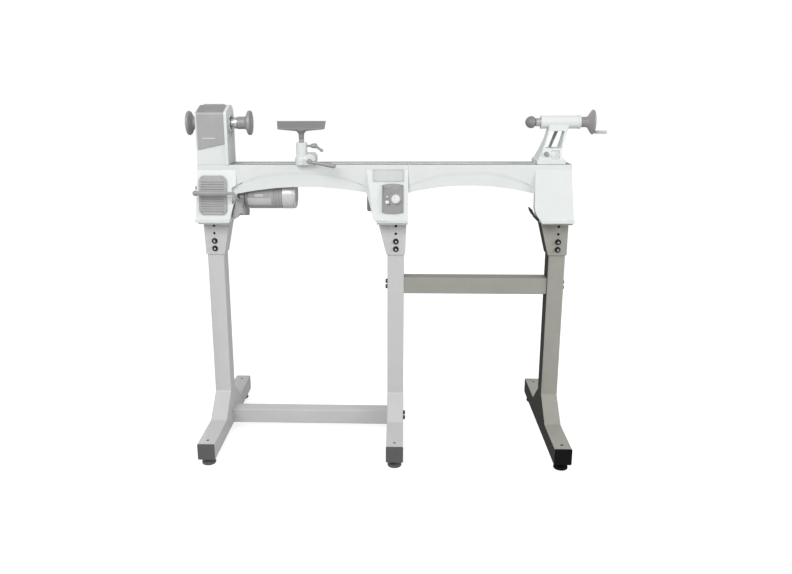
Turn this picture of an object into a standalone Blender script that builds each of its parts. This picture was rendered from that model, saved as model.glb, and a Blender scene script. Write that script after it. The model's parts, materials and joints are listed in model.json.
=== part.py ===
"""Midi wood lathe with a bed extension, on a three-legged steel stand.

X runs along the lathe, from the headstock to the tailstock. Y runs away from the turner and Z is up.
The floor is Z = 0, the spindle's axis lies in the plane Y = 0, and every size is in metres.
"""

import math

import bmesh
import bpy
from mathutils import Matrix, Vector

GAP = 0.0003  # clearance between pieces that touch

# Lathe
SWING_RADIUS = 0.127
BED_TOP_Z = 0.922
SPINDLE_Z = BED_TOP_Z + SWING_RADIUS
BED_HALF_Y = 0.052
WEB_HALF_Y = 0.047
SLOT_HALF_Y = 0.019
RAIL_BOTTOM_Z = 0.901
BED_FOOT_Z = 0.742
FLANGE_TOP_Z = 0.751
FLARE_TOP_Z = 0.905
FLARE_OUT = 0.027  # how far the casting's feet come forward
BED_LEFT_X = -0.625
BED_SEAM_X = 0.042
BED_RIGHT_X = 0.548
HEAD_LEFT_X = -0.624
HEAD_RIGHT_X = -0.524
HEAD_TOP_Z = 1.101
HEAD_BEND = Vector((-0.046, 1.077))  # the bend's centre, in Y and Z, where the front meets the sloping top
HEAD_BEND_R = 0.006
HEAD_SLOPE = 20.0  # degrees
COVER_THICK = 0.003
HEAD_HINGE = (0.0, 0.0175, HEAD_TOP_Z + 0.0036)
SPINDLE_R = 0.0127
BEARING_R = (0.0235, 0.0275)
PLATE_R = 0.0381
BELT_X = -0.574
BELT_THICK = 0.004
STEP_WIDTH = 0.0165
PULLEY_X = BELT_X - 1.5 * STEP_WIDTH
SPINDLE_STEPS = (0.026, 0.033, 0.038)
MOTOR_STEPS = (0.029, 0.022, 0.017)
MOTOR_Y = 0.016
MOTOR_Z = 0.820
MOTOR_R = 0.046
PIVOT_Y = 0.050
PIVOT_Z = 0.757
LEVER_Y = -0.100
LEVER_Z = 0.838
KNOB_X, KNOB_Z = 0.0025, 0.815
SWITCH_X, SWITCH_Z = -0.0240, 0.806

# Tool rest
POST = Vector((-0.291, -0.060, 0.0))
POST_R = 0.0079
BANJO_TOP_Z = 0.950
CLAMP_BOLT = Vector((-0.2835, 0.012, 0.0))
LOCK = Vector((-0.2650, -0.0760, 0.9360))
RATCHET = Vector((-0.2530, -0.0600, 0.9810))
REST_HALF_X = 0.0762
REST_LOW_Z = 1.0031

# Tailstock
BARREL_X = (0.455, 0.576)
BARREL_R = 0.020
QUILL_R = 0.013
CLAMP_SHAFT = Vector((0.470, 0.0, 0.953))
SPINNER_Z = SPINDLE_Z - 0.031
QUILL_LOCK_X = 0.485

# Stand
LEG_X = {"left": -0.587, "middle": 0.003, "right": 0.522}
LEG_HALF_X = 0.027
LEG_HALF_Y = 0.030
LEG_TOP_Z = 0.715
TUBE_WALL = 0.0025
FOOT_HALF_Y = 0.2937
FOOT_Z = (0.025, 0.0775)
CAP_THICK = 0.004
GUSSET_Z = 0.148
GUSSET_Y = 0.1145
LEVEL_Y = 0.262
BRACKET_Z = (0.630, BED_FOOT_Z - GAP)
BRACKET_WALL = 0.004
HOLE_PITCH = 0.025
BRACKET_HOLE_Z = 0.724
CROSSBAR_HALF_Y = 0.025
LOWER_BAR_Z = (0.0295, 0.0790)
UPPER_BAR_Z = (0.4975, 0.5525)
BOLT_R = 0.004

PARTS = bpy.data.collections.new("wood_lathe")
CUTTERS = bpy.data.collections.new("cutters")

# Colour, roughness and metallic value of each finish
FINISHES = {
    "casting_white": ((0.76, 0.79, 0.77), 0.45, 0.0),
    "cover_grey": ((0.33, 0.33, 0.33), 0.5, 0.0),
    "dark_cast": ((0.21, 0.21, 0.21), 0.5, 0.2),
    "panel_black": ((0.16, 0.16, 0.16), 0.5, 0.0),
    "stand_light": ((0.58, 0.58, 0.57), 0.5, 0.0),
    "stand_grey": ((0.36, 0.36, 0.34), 0.5, 0.0),
    "bright_steel": ((0.75, 0.75, 0.75), 0.25, 1.0),
    "black_steel": ((0.05, 0.05, 0.05), 0.4, 0.6),
    "motor_grey": ((0.24, 0.24, 0.24), 0.5, 0.2),
    "rubber": ((0.04, 0.04, 0.04), 0.8, 0.0),
    "knob_grey": ((0.70, 0.70, 0.70), 0.4, 0.0),
}


# ---------------------------------------------------------------- helpers


def clear_scene():
    for obj in list(bpy.data.objects):
        bpy.data.objects.remove(obj)
    bpy.context.scene.collection.children.link(PARTS)
    bpy.context.scene.collection.children.link(CUTTERS)


def finish(name):
    """The named finish's material, made the first time it is asked for."""
    found = bpy.data.materials.get(name)
    if found:
        return found
    colour, roughness, metallic = FINISHES[name]
    made = bpy.data.materials.new(name)
    made.use_nodes = True
    shader = made.node_tree.nodes["Principled BSDF"]
    shader.inputs["Base Color"].default_value = (*colour, 1.0)
    shader.inputs["Roughness"].default_value = roughness
    shader.inputs["Metallic"].default_value = metallic
    return made


def add_object(name, bm):
    bmesh.ops.remove_doubles(bm, verts=bm.verts, dist=1e-6)
    bmesh.ops.recalc_face_normals(bm, faces=bm.faces)
    mesh = bpy.data.meshes.new(name)
    bm.to_mesh(mesh)
    bm.free()
    obj = bpy.data.objects.new(name, mesh)
    PARTS.objects.link(obj)
    return obj


def as_mesh(maker):
    """A mesh object in place of a curve or of an object with a Screw, so that Booleans can take it."""
    bpy.context.view_layer.update()
    graph = bpy.context.evaluated_depsgraph_get()
    bm = bmesh.new()
    mesh = bpy.data.meshes.new_from_object(maker.evaluated_get(graph))
    bm.from_mesh(mesh)
    bm.transform(maker.matrix_world)
    name = maker.name
    bpy.data.objects.remove(maker)
    bpy.data.meshes.remove(mesh)
    return add_object(name, bm)


def box(name, x, y, z, bevel=0.0):
    """A block between the two values given for each axis."""
    bm = bmesh.new()
    size = [b - a for a, b in (x, y, z)]
    centre = [(a + b) / 2 for a, b in (x, y, z)]
    bmesh.ops.create_cube(bm, matrix=Matrix.LocRotScale(Vector(centre), None, Vector(size)))
    if bevel:
        bmesh.ops.bevel(bm, geom=bm.edges, offset=bevel, segments=1, affect="EDGES")
    return add_object(name, bm)


def rod(name, start, end, radius, end_radius=None, sides=20):
    """A cylinder or cone from one point to another."""
    start, end = Vector(start), Vector(end)
    turn = (end - start).to_track_quat("Z", "Y").to_matrix().to_4x4()
    bm = bmesh.new()
    bmesh.ops.create_cone(
        bm,
        cap_ends=True,
        segments=sides,
        radius1=radius,
        radius2=radius if end_radius is None else end_radius,
        depth=(end - start).length,
        matrix=Matrix.Translation((start + end) / 2) @ turn,
    )
    return add_object(name, bm)


# Each axis's frame for a flat outline: the outline's two directions, then the direction it is extruded in
OUTLINE_FRAMES = {
    "x": Matrix(((0, 0, 1), (1, 0, 0), (0, 1, 0))),
    "y": Matrix(((1, 0, 0), (0, 0, -1), (0, 1, 0))),
    "z": Matrix.Identity(3),
}


def slab(name, outline, axis, low, high):
    """A flat outline in the other two axes, extruded along this axis from low to high."""
    curve = bpy.data.curves.new(name, "CURVE")
    curve.dimensions = "2D"
    curve.fill_mode = "BOTH"
    curve.extrude = (high - low) / 2
    spline = curve.splines.new("POLY")
    spline.points.add(len(outline) - 1)
    for point, (u, v) in zip(spline.points, outline):
        point.co = (u, v, 0, 1)
    spline.use_cyclic_u = True
    obj = bpy.data.objects.new(name, curve)
    PARTS.objects.link(obj)
    shift = Vector((axis == "x", axis == "y", axis == "z")) * (low + high) / 2
    obj.matrix_world = Matrix.Translation(shift) @ OUTLINE_FRAMES[axis].to_4x4()
    return as_mesh(obj)


def turned(name, profile, start, direction, sides=24, ring=False):
    """A profile of (distance along the axis, radius), turned round the axis that starts at a point.

    A ring's profile is a closed loop clear of the axis. Any other begins and ends on the axis.
    """
    mesh = bpy.data.meshes.new(name)
    points = [(radius, 0, along) for along, radius in profile]
    edges = [(i, i + 1) for i in range(len(points) - 1)]
    if ring:
        edges.append((len(points) - 1, 0))
    mesh.from_pydata(points, edges, [])
    obj = bpy.data.objects.new(name, mesh)
    PARTS.objects.link(obj)
    screw = obj.modifiers.new("Screw", "SCREW")
    screw.axis = "Z"
    screw.steps = screw.render_steps = sides
    screw.use_merge_vertices = True
    screw.merge_threshold = 1e-5
    turn = Vector(direction).to_track_quat("Z", "Y").to_matrix().to_4x4()
    obj.matrix_world = Matrix.Translation(Vector(start)) @ turn
    return as_mesh(obj)


def tube(name, points, radius):
    """A round bar along a line of points."""
    curve = bpy.data.curves.new(name, "CURVE")
    curve.dimensions = "3D"
    curve.bevel_depth = radius
    curve.bevel_resolution = 2
    curve.use_fill_caps = True
    spline = curve.splines.new("POLY")
    spline.points.add(len(points) - 1)
    for point, place in zip(spline.points, points):
        point.co = (*place, 1)
    obj = bpy.data.objects.new(name, curve)
    PARTS.objects.link(obj)
    return as_mesh(obj)


def combine(target, operation, tools):
    for tool in tools:
        modifier = target.modifiers.new(tool.name, "BOOLEAN")
        modifier.operation = operation
        modifier.object = tool
        PARTS.objects.unlink(tool)
        CUTTERS.objects.link(tool)
        tool.hide_render = True
        tool.display_type = "WIRE"
    return target


def join(target, *tools):
    return combine(target, "UNION", tools)


def cut(target, *tools):
    return combine(target, "DIFFERENCE", tools)


def overlap(target, *tools):
    return combine(target, "INTERSECT", tools)


def place(obj, matrix):
    """Moves a piece that was made round the origin."""
    obj.data.transform(matrix)
    return obj


def complete(obj, look, pivot=None):
    """Gives a finished part its material, its smooth shading and, if it moves, its origin on the joint."""
    obj.data.materials.clear()
    obj.data.materials.append(finish(look))
    obj.data.shade_smooth()
    obj.data.set_sharp_from_angle(angle=math.radians(35))
    if pivot is not None:
        pivot = Vector(pivot)
        obj.data.transform(Matrix.Translation(-pivot))
        obj.location = pivot
    return obj


def arc(centre, radius, start, end, steps):
    """Points on an arc between two angles in degrees."""
    turns = [math.radians(start + (end - start) * i / steps) for i in range(steps + 1)]
    return [(centre[0] + radius * math.cos(t), centre[1] + radius * math.sin(t)) for t in turns]


def arc_through(first, middle, last, steps):
    """Points on the arc through three points."""
    (ax, ay), (bx, by), (cx, cy) = first, middle, last
    double = 2 * (ax * (by - cy) + bx * (cy - ay) + cx * (ay - by))
    a, b, c = ax * ax + ay * ay, bx * bx + by * by, cx * cx + cy * cy
    centre = (
        (a * (by - cy) + b * (cy - ay) + c * (ay - by)) / double,
        (a * (cx - bx) + b * (ax - cx) + c * (bx - ax)) / double,
    )
    angles = [math.degrees(math.atan2(y - centre[1], x - centre[0])) for x, y in (first, last)]
    return arc(centre, math.dist(centre, first), *angles, steps)


def flared(half_top, low, high):
    """The section of a casting's foot, across the bed: it widens downwards from the rails."""
    slope = FLARE_OUT / (FLARE_TOP_Z - FLANGE_TOP_Z)
    half_low = half_top + slope * (FLARE_TOP_Z - low)
    return [(-half_low, low), (-half_top, FLARE_TOP_Z), (-half_top, high),
            (half_top, high), (half_top, FLARE_TOP_Z), (half_low, low)]


def on_foot_front(x, z, out=0.0):
    """The place of a piece on a foot's sloping front, whose own -Y faces out of it."""
    lean = math.atan2(FLARE_OUT, FLARE_TOP_Z - FLANGE_TOP_Z)
    y = -BED_HALF_Y - (FLARE_TOP_Z - z) * math.tan(lean)
    turn = Matrix.Rotation(-lean, 4, "X")
    return Matrix.Translation((x, y, z)) @ turn @ Matrix.Translation((0, -out, 0))


# ---------------------------------------------------------------- stand


def leg(side):
    """An upright and a foot of steel tube, with a gusset in front and behind."""
    x = LEG_X[side]
    low, top = FOOT_Z
    end = FOOT_HALF_Y - CAP_THICK - GAP

    def outline(inset, reach, height):
        half = [(reach, low + inset), (reach, top - inset), (GUSSET_Y - inset / 2, top - inset),
                (LEG_HALF_Y - inset, GUSSET_Z - inset / 2), (LEG_HALF_Y - inset, height)]
        return half + [(-y, z) for y, z in reversed(half)]

    made = slab(f"leg_{side}", outline(0, end, LEG_TOP_Z), "x", x - LEG_HALF_X, x + LEG_HALF_X)
    inner = LEG_HALF_X - TUBE_WALL
    hollow = slab("hollow", outline(TUBE_WALL, end + 0.01, LEG_TOP_Z + 0.01), "x", x - inner, x + inner)
    cut(made, hollow)
    for step in (2, 3):
        z = BRACKET_HOLE_Z - step * HOLE_PITCH
        cut(made, rod("bolt_hole", (x, -0.05, z), (x, 0, z), BOLT_R + GAP, sides=12))
    for y in (-LEVEL_Y, LEVEL_Y):
        cut(made, rod("level_hole", (x, y, low - 0.01), (x, y, top + 0.01), 0.0053, sides=12))
    for z in crossbar_bolt_heights(side):
        cut(made, rod("cross_hole", (x - 0.05, 0, z), (x + 0.05, 0, z), BOLT_R + GAP, sides=12))
    return complete(made, "stand_grey" if side == "right" else "stand_light")


def crossbar_bolt_heights(side):
    bars = {"left": [LOWER_BAR_Z], "middle": [LOWER_BAR_Z, UPPER_BAR_Z], "right": [UPPER_BAR_Z]}[side]
    return [sum(bar) / 2 + shift for bar in bars for shift in (-0.009, 0.009)]


def foot_cap(side, end):
    """The plastic plug in an open end of a foot."""
    x, low, top = LEG_X[side], *FOOT_Z
    facing = -1 if end == "front" else 1
    face = sorted((facing * (FOOT_HALF_Y - CAP_THICK), facing * FOOT_HALF_Y))
    plug = sorted((facing * (FOOT_HALF_Y - 0.018), facing * (FOOT_HALF_Y - CAP_THICK / 2)))
    inset = TUBE_WALL + GAP
    half = LEG_HALF_X - inset
    made = box(f"foot_cap_{side}_{end}", (x - LEG_HALF_X, x + LEG_HALF_X), face, (low, top))
    join(made, box("plug", (x - half, x + half), plug, (low + inset, top - inset)))
    return complete(made, "rubber" if side == "right" else "dark_cast")


def levelling_foot(side, end):
    """A round pad with its lock nut and its stud, which screws into the foot."""
    x = LEG_X[side]
    y = -LEVEL_Y if end == "front" else LEVEL_Y
    profile = [(0, 0), (0, 0.0205), (0.002, 0.022), (0.008, 0.022), (0.011, 0.012), (0.013, 0.010),
               (0.013, 0.009), (0.021, 0.009), (0.021, 0.005), (0.060, 0.005), (0.060, 0)]
    made = turned(f"levelling_foot_{side}_{end}", profile, (x, y, 0), (0, 0, 1), sides=16)
    return complete(made, "black_steel", pivot=(x, y, 0))


def bracket(side):
    """A folded steel bracket that carries a foot of the bed on top of a leg."""
    x = LEG_X[side]
    low, high = BRACKET_Z
    flare = {"left": (-0.0335, 0.052), "middle": (-0.058, 0.034), "right": (-0.058, 0.0303)}[side]
    half_low = LEG_HALF_X + GAP + 0.003
    half_y = LEG_HALF_Y + GAP + BRACKET_WALL
    plate_low = high - 0.005
    sides = [(x - half_low, low), (x + half_low, low), (x + flare[1], plate_low + 0.002),
             (x + flare[0], plate_low + 0.002)]
    made = slab(f"bracket_{side}", sides, "y", -half_y, half_y)
    inside = [(x - LEG_HALF_X - GAP, low - 0.01), (x + LEG_HALF_X + GAP, low - 0.01),
              (x + LEG_HALF_X + GAP, low + 0.002), (x + flare[1] - 0.003, plate_low),
              (x + flare[0] + 0.003, plate_low), (x - LEG_HALF_X - GAP, low + 0.002)]
    cut(made, slab("inside", inside, "y", -half_y + BRACKET_WALL, half_y - BRACKET_WALL))
    ends = {"left": (-0.038, 0.058), "middle": (-0.060, 0.037), "right": (-0.064, 0.033)}[side]
    join(made, box("plate", (x + ends[0], x + ends[1]), (-0.080, 0.080), (plate_low, high)))
    if side == "right":
        wing = [(x + flare[0] - 0.002, plate_low + 0.001), (x + flare[0] + 0.010, plate_low + 0.001)]
        wing += arc_through((0.4545, 0.7495), (0.4440, 0.7600), (0.4365, 0.7770), 5)
        wing += arc_through((0.4330, 0.7755), (0.4410, 0.7575), (0.4530, 0.7450), 5)
        join(made, slab("wing", wing, "y", -half_y, half_y))
    for step in range(4):
        z = BRACKET_HOLE_Z - step * HOLE_PITCH
        cut(made, rod("hole", (x, -0.06, z), (x, 0, z), BOLT_R + GAP, sides=12))
    return complete(made, "stand_grey" if side == "right" else "stand_light")


def bracket_bolts(side):
    """Two flanged bolts and the nut plate inside the leg that they share."""
    x = LEG_X[side]
    face = -(LEG_HALF_Y + GAP + BRACKET_WALL + GAP)
    nut = -(LEG_HALF_Y - TUBE_WALL - GAP)
    heights = [BRACKET_HOLE_Z - step * HOLE_PITCH for step in (2, 3)]
    made = box(f"bracket_bolts_{side}", (x - 0.012, x + 0.012), (nut, nut + 0.006),
               (heights[1] - 0.012, heights[0] + 0.012))
    for z in heights:
        join(made, rod("shank", (x, face - 0.001, z), (x, nut + 0.003, z), BOLT_R, sides=12))
        join(made, rod("flange", (x, face - 0.002, z), (x, face, z), 0.0095, sides=16))
        join(made, rod("head", (x, face - 0.0075, z), (x, face - 0.001, z), 0.0070, sides=6))
    return complete(made, "black_steel")


def crossbar(name, x, z):
    made = box(name, x, (-CROSSBAR_HALF_Y, CROSSBAR_HALF_Y), z)
    inner_y = CROSSBAR_HALF_Y - TUBE_WALL
    cut(made, box("hollow", (x[0] - 0.01, x[1] + 0.01), (-inner_y, inner_y), (z[0] + TUBE_WALL, z[1] - TUBE_WALL)))
    return complete(made, "stand_grey" if "upper" in name else "stand_light")


def crossbar_bolts(name, side, toward, bar_z):
    """Two bolts through a leg into the nut plate in a crossbar's end. toward is the crossbar's side."""
    x = LEG_X[side]
    head = x - toward * (LEG_HALF_X + GAP)
    end = x + toward * (LEG_HALF_X + GAP)
    middle = sum(bar_z) / 2
    half_y = CROSSBAR_HALF_Y - TUBE_WALL - GAP
    half_z = (bar_z[1] - bar_z[0]) / 2 - TUBE_WALL - GAP
    plate = sorted((end, end + toward * 0.006))
    made = box(name, plate, (-half_y, half_y), (middle - half_z, middle + half_z))
    for z in (middle - 0.009, middle + 0.009):
        join(made, rod("shank", (head - toward * 0.001, 0, z), (end + toward * 0.003, 0, z), BOLT_R, sides=12))
        join(made, rod("head", (head - toward * 0.006, 0, z), (head, 0, z), 0.0068, sides=6))
    return complete(made, "black_steel")


def build_stand():
    for side in LEG_X:
        leg(side)
        bracket(side)
        bracket_bolts(side)
        for end in ("front", "rear"):
            foot_cap(side, end)
            levelling_foot(side, end)
    clear = LEG_HALF_X + GAP
    lower = (LEG_X["left"] + clear, LEG_X["middle"] - clear)
    upper = (LEG_X["middle"] + clear, LEG_X["right"] - clear)
    crossbar("crossbar_lower", lower, LOWER_BAR_Z)
    crossbar("crossbar_upper", upper, UPPER_BAR_Z)
    crossbar_bolts("crossbar_bolts_lower_left", "left", 1, LOWER_BAR_Z)
    crossbar_bolts("crossbar_bolts_lower_middle", "middle", -1, LOWER_BAR_Z)
    crossbar_bolts("crossbar_bolts_upper_middle", "middle", 1, UPPER_BAR_Z)
    crossbar_bolts("crossbar_bolts_upper_right", "right", -1, UPPER_BAR_Z)


# ---------------------------------------------------------------- bed


def bed_casting():
    """The lathe's own bed, with its headstock foot, its middle foot and the arch between them."""
    seam = BED_SEAM_X - GAP
    arch = arc_through((-0.503, 0.830), (-0.300, 0.852), (-0.091, 0.834), 12)
    left_foot = [(-0.519, 0.772), (-0.526, BED_FOOT_Z), (-0.631, BED_FOOT_Z), (-0.633, 0.760)]
    outline = [(BED_LEFT_X, BED_TOP_Z), (seam, BED_TOP_Z), (seam, 0.757), (0.037, BED_FOOT_Z),
               (-0.056, BED_FOOT_Z), (-0.069, 0.753), *reversed(arch), *left_foot]
    made = slab("bed_casting", outline, "y", -BED_HALF_Y, BED_HALF_Y)
    foot = slab("left_foot", [(BED_LEFT_X, FLARE_TOP_Z + 0.001), (-0.503, FLARE_TOP_Z + 0.001), (-0.503, 0.830),
                              *left_foot], "y", -0.09, 0.09)
    overlap(foot, slab("left_flare", flared(BED_HALF_Y, BED_FOOT_Z, FLARE_TOP_Z + 0.002), "x", -0.65, -0.45))
    middle = slab("middle_foot", [(-0.089, FLARE_TOP_Z + 0.001), (seam, FLARE_TOP_Z + 0.001), (seam, 0.757),
                                  (0.037, BED_FOOT_Z), (-0.056, BED_FOOT_Z), (-0.069, 0.753)], "y", -0.09, 0.09)
    overlap(middle, slab("middle_flare", flared(BED_HALF_Y, BED_FOOT_Z, FLARE_TOP_Z + 0.002), "x", -0.12, 0.06))
    join(made, foot, middle)
    join(made, box("left_flange", (-0.634, -0.524), (-0.085, 0.085), (BED_FOOT_Z, FLANGE_TOP_Z)))
    join(made, box("middle_flange", (-0.058, 0.038), (-0.085, 0.085), (BED_FOOT_Z, FLANGE_TOP_Z)))
    web = arc_through((-0.517, 0.850), (-0.410, 0.892), (-0.300, 0.899), 6)
    web += arc_through((-0.300, 0.899), (-0.190, 0.892), (-0.086, 0.850), 6)[1:]
    web += [(-0.086, 0.80), (-0.517, 0.80)]
    cut(made, slab("web_front", web, "y", -0.10, -WEB_HALF_Y), slab("web_rear", web, "y", WEB_HALF_Y, 0.10))
    cut(made, slab("left_hollow", flared(0.044, 0.70, RAIL_BOTTOM_Z), "x", -0.612, -0.536))
    cut(made, slab("middle_hollow", flared(0.044, 0.70, RAIL_BOTTOM_Z), "x", -0.058, 0.030))
    cut(made, box("hollow", (-0.5165, 0.030), (-0.041, 0.041), (0.70, RAIL_BOTTOM_Z)))
    cut(made, box("slot", (-0.518, 0.06), (-SLOT_HALF_Y, SLOT_HALF_Y), (0.89, 0.93)))
    cut(made, box("clamp_way", (0.02, 0.06), (-0.036, 0.036), (0.866, RAIL_BOTTOM_Z)))
    cut(made, box("belt_hole", (-0.600, -0.550), (-0.034, 0.0445), (0.89, 0.93)))
    cut(made, box("motor_relief", (-0.512, -0.290), (0.02, 0.10), (0.70, 0.880)))
    cut(made, rod("shaft_hole", (-0.55, MOTOR_Y, MOTOR_Z + 0.002), (-0.49, MOTOR_Y, MOTOR_Z + 0.002), 0.020))
    cut(made, box("cover_opening", (-0.606, -0.546), (-0.12, -0.03), (0.785, 0.868)))
    cut(made, box("panel_opening", (-0.036, 0.020), (-0.12, -0.03), (0.783, 0.852)))
    cut(made, box("housing_opening", (-0.048, 0.022), (0.03, 0.12), (0.775, 0.852)))
    join(made, rod("pivot_pin", (-0.534, PIVOT_Y, PIVOT_Z), (-0.489, PIVOT_Y, PIVOT_Z), 0.006, sides=16))
    return complete(made, "casting_white")


def bed_extension():
    """The bolted-on length of bed, which stands on the right-hand leg."""
    seam = BED_SEAM_X + GAP
    arch = arc_through((seam, 0.834), (0.235, 0.857), (0.4365, 0.831), 12)
    corner = arc_through((0.4575, 0.7495), (0.4470, 0.7610), (0.4400, 0.7755), 4)
    foot = [(0.4365, 0.787), *reversed(corner), (0.458, BED_FOOT_Z), (0.557, BED_FOOT_Z), (0.558, 0.755)]
    outline = [(BED_RIGHT_X, BED_TOP_Z), (seam, BED_TOP_Z), *arch, *foot]
    made = slab("bed_extension", outline, "y", -BED_HALF_Y, BED_HALF_Y)
    block = slab("right_foot", [(BED_RIGHT_X, FLARE_TOP_Z + 0.001), (0.4365, FLARE_TOP_Z + 0.001), *foot],
                 "y", -0.09, 0.09)
    overlap(block, slab("right_flare", flared(BED_HALF_Y, BED_FOOT_Z, FLARE_TOP_Z + 0.002), "x", 0.40, 0.60))
    join(made, block)
    join(made, box("right_flange", (0.458, 0.560), (-0.085, 0.085), (BED_FOOT_Z, FLANGE_TOP_Z)))
    web = arc_through((0.046, 0.858), (0.140, 0.892), (0.235, 0.899), 6)
    web += arc_through((0.235, 0.899), (0.340, 0.892), (0.436, 0.850), 6)[1:]
    web += [(0.436, 0.80), (0.046, 0.80)]
    cut(made, slab("web_front", web, "y", -0.10, -WEB_HALF_Y), slab("web_rear", web, "y", WEB_HALF_Y, 0.10))
    cut(made, slab("right_hollow", flared(0.044, 0.70, RAIL_BOTTOM_Z), "x", 0.464, 0.540))
    cut(made, box("hollow", (0.054, 0.470), (-0.041, 0.041), (0.74, RAIL_BOTTOM_Z)))
    cut(made, box("rear_notch", (0.400, 0.476), (0.030, 0.120), (FLANGE_TOP_Z + 0.0006, 0.8295)))
    cut(made, box("slot", (0.0, 0.537), (-SLOT_HALF_Y, SLOT_HALF_Y), (0.89, 0.93)))
    cut(made, box("clamp_way", (0.0, 0.06), (-0.036, 0.036), (0.866, RAIL_BOTTOM_Z)))
    return complete(made, "casting_white")


def lower_access_cover():
    """The louvred cover over the belt's lower pulley."""
    half_x, half_z, corner = 0.0445, 0.0615, 0.010
    outline = [(-half_x + corner, -half_z), (half_x - corner, -half_z), (half_x, -half_z + corner),
               (half_x, half_z - 0.014), (half_x - corner, half_z), (-half_x + corner, half_z),
               (-half_x, half_z - 0.014), (-half_x, -half_z + corner)]
    made = slab("lower_access_cover", outline, "y", -0.006, -0.0005)
    return complete(place(made, on_foot_front(-0.5765, 0.8275)), "cover_grey")


def control_housing():
    """The speed control: its front panel, and the electronics box that passes through the foot behind it."""
    half_x, half_z = 0.0335, 0.0430
    outline = arc_through((half_x, half_z), (0, half_z + 0.004), (-half_x, half_z), 6)
    outline += arc_through((-half_x, -half_z), (0, -half_z - 0.004), (half_x, -half_z), 6)
    made = slab("control_housing", outline, "y", -0.005, -0.0005)
    place(made, on_foot_front(-0.0075, 0.817))
    join(made, box("body", (-0.034, 0.018), (-0.0675, 0.062), (0.786, 0.850)))
    join(made, box("rear_box", (-0.095, 0.030), (0.0885, 0.118), (0.752, 0.850), bevel=0.004))
    join(made, box("neck", (-0.034, 0.018), (0.05, 0.10), (0.786, 0.850)))
    for x, z, radius in ((KNOB_X, KNOB_Z, 0.0045), (SWITCH_X, SWITCH_Z, 0.0050)):
        spot = on_foot_front(x, z)
        cut(made, rod("hole", spot @ Vector((0, -0.01, 0)), spot @ Vector((0, 0.008, 0)), radius, sides=12))
    return complete(made, "panel_black")


def speed_knob():
    spot = on_foot_front(KNOB_X, KNOB_Z)
    profile = [(-0.006, 0), (-0.006, 0.0040), (0.0055, 0.0040), (0.0055, 0.0140), (0.008, 0.0140),
               (0.020, 0.0120), (0.021, 0.0110), (0.021, 0)]
    direction = spot.to_3x3() @ Vector((0, -1, 0))
    made = turned("speed_knob", profile, spot.translation, direction, sides=20)
    return complete(made, "knob_grey", pivot=spot.translation)


def power_switch():
    """The toggle, whose ball turns inside its bush. It points down, which is off."""
    spot = on_foot_front(SWITCH_X, SWITCH_Z)
    profile = [(-0.0045, 0), (-0.0035, 0.0030), (0, 0.0044), (0.0035, 0.0030), (0.006, 0.0022),
               (0.016, 0.0032), (0.018, 0.0028), (0.019, 0)]
    direction = Matrix.Rotation(math.radians(12), 3, "X") @ spot.to_3x3() @ Vector((0, -1, 0))
    made = turned("power_switch", profile, spot.translation, direction, sides=12)
    return complete(made, "black_steel", pivot=spot.translation)


def build_bed():
    bed_casting()
    bed_extension()
    lower_access_cover()
    control_housing()
    speed_knob()
    power_switch()


# ---------------------------------------------------------------- headstock


def head_front(out, front_low, rear_y):
    """The headstock's front and sloping top, this far out from the casting, from the front's low end to the rear."""
    path = [(-BED_HALF_Y - out, front_low)]
    path += arc(HEAD_BEND, HEAD_BEND_R + out, 180, 90 + HEAD_SLOPE, 4)
    rise = HEAD_TOP_Z + out - path[-1][1]
    path.append((path[-1][0] + rise / math.tan(math.radians(HEAD_SLOPE)), HEAD_TOP_Z + out))
    path.append((rear_y, HEAD_TOP_Z + out))
    return path


def head_section(out):
    rear = arc((0.016, HEAD_TOP_Z - 0.034), 0.034 + out, 90, 0, 5)
    return head_front(out, BED_TOP_Z + GAP, 0.010) + rear + [(0.050 + out, BED_TOP_Z + GAP)]


def headstock_casting():
    """The box that carries the spindle, open at its front and top under the cover, and below for the belt."""
    made = slab("headstock_casting", head_section(0), "x", HEAD_LEFT_X, HEAD_RIGHT_X - 0.004)
    cheek = slab("cheek", head_section(0.0036), "x", -0.5335, HEAD_RIGHT_X)
    join(made, cheek)
    inside = [(-0.044, 0.900), (0.042, 0.900), (0.042, 1.070), (0.034, 1.088), (0.010, 1.093), (0.0, 1.093),
              (-0.044, 1.075)]
    cut(made, slab("hollow", inside, "x", -0.608, -0.542))
    cut(made, box("opening", (-0.605, -0.545), (-0.08, 0.008), (0.996, 1.12)))
    axis = ((-0.70, 0, SPINDLE_Z), (-0.45, 0, SPINDLE_Z))
    cut(made, rod("spindle_bore", *axis, SPINDLE_R + 0.002))
    for low, high, radius in ((-0.630, -0.612, BEARING_R[0] + GAP), (-0.5365, -0.50, BEARING_R[1] + GAP)):
        cut(made, rod("seat", (low, 0, SPINDLE_Z), (high, 0, SPINDLE_Z), radius, sides=28))
    return complete(made, "casting_white")


def bearing(name, x, radius):
    profile = [(0, SPINDLE_R + GAP), (0, radius), (x[1] - x[0], radius), (x[1] - x[0], SPINDLE_R + GAP)]
    made = turned(name, profile, (x[0], 0, SPINDLE_Z), (1, 0, 0), sides=24, ring=True)
    return complete(made, "bright_steel")


def headstock_cover():
    """The shell over the headstock's front and top, hinged along its rear edge."""
    outer = head_front(0.0006 + COVER_THICK, 0.950, 0.0150)
    inner = head_front(0.0006, 0.950, 0.0150)
    made = slab("headstock_cover", outer + inner[::-1], "x", -0.6185, -0.5340)
    slope = [(-0.63, 0.90), (-0.52, 0.90), (-0.52, 0.990), (-0.534, 0.987), (-0.6185, 0.969), (-0.63, 0.9665)]
    cut(made, slab("slope", slope, "y", -0.08, 0.0))
    return complete(made, "cover_grey", pivot=HEAD_HINGE)


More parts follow.
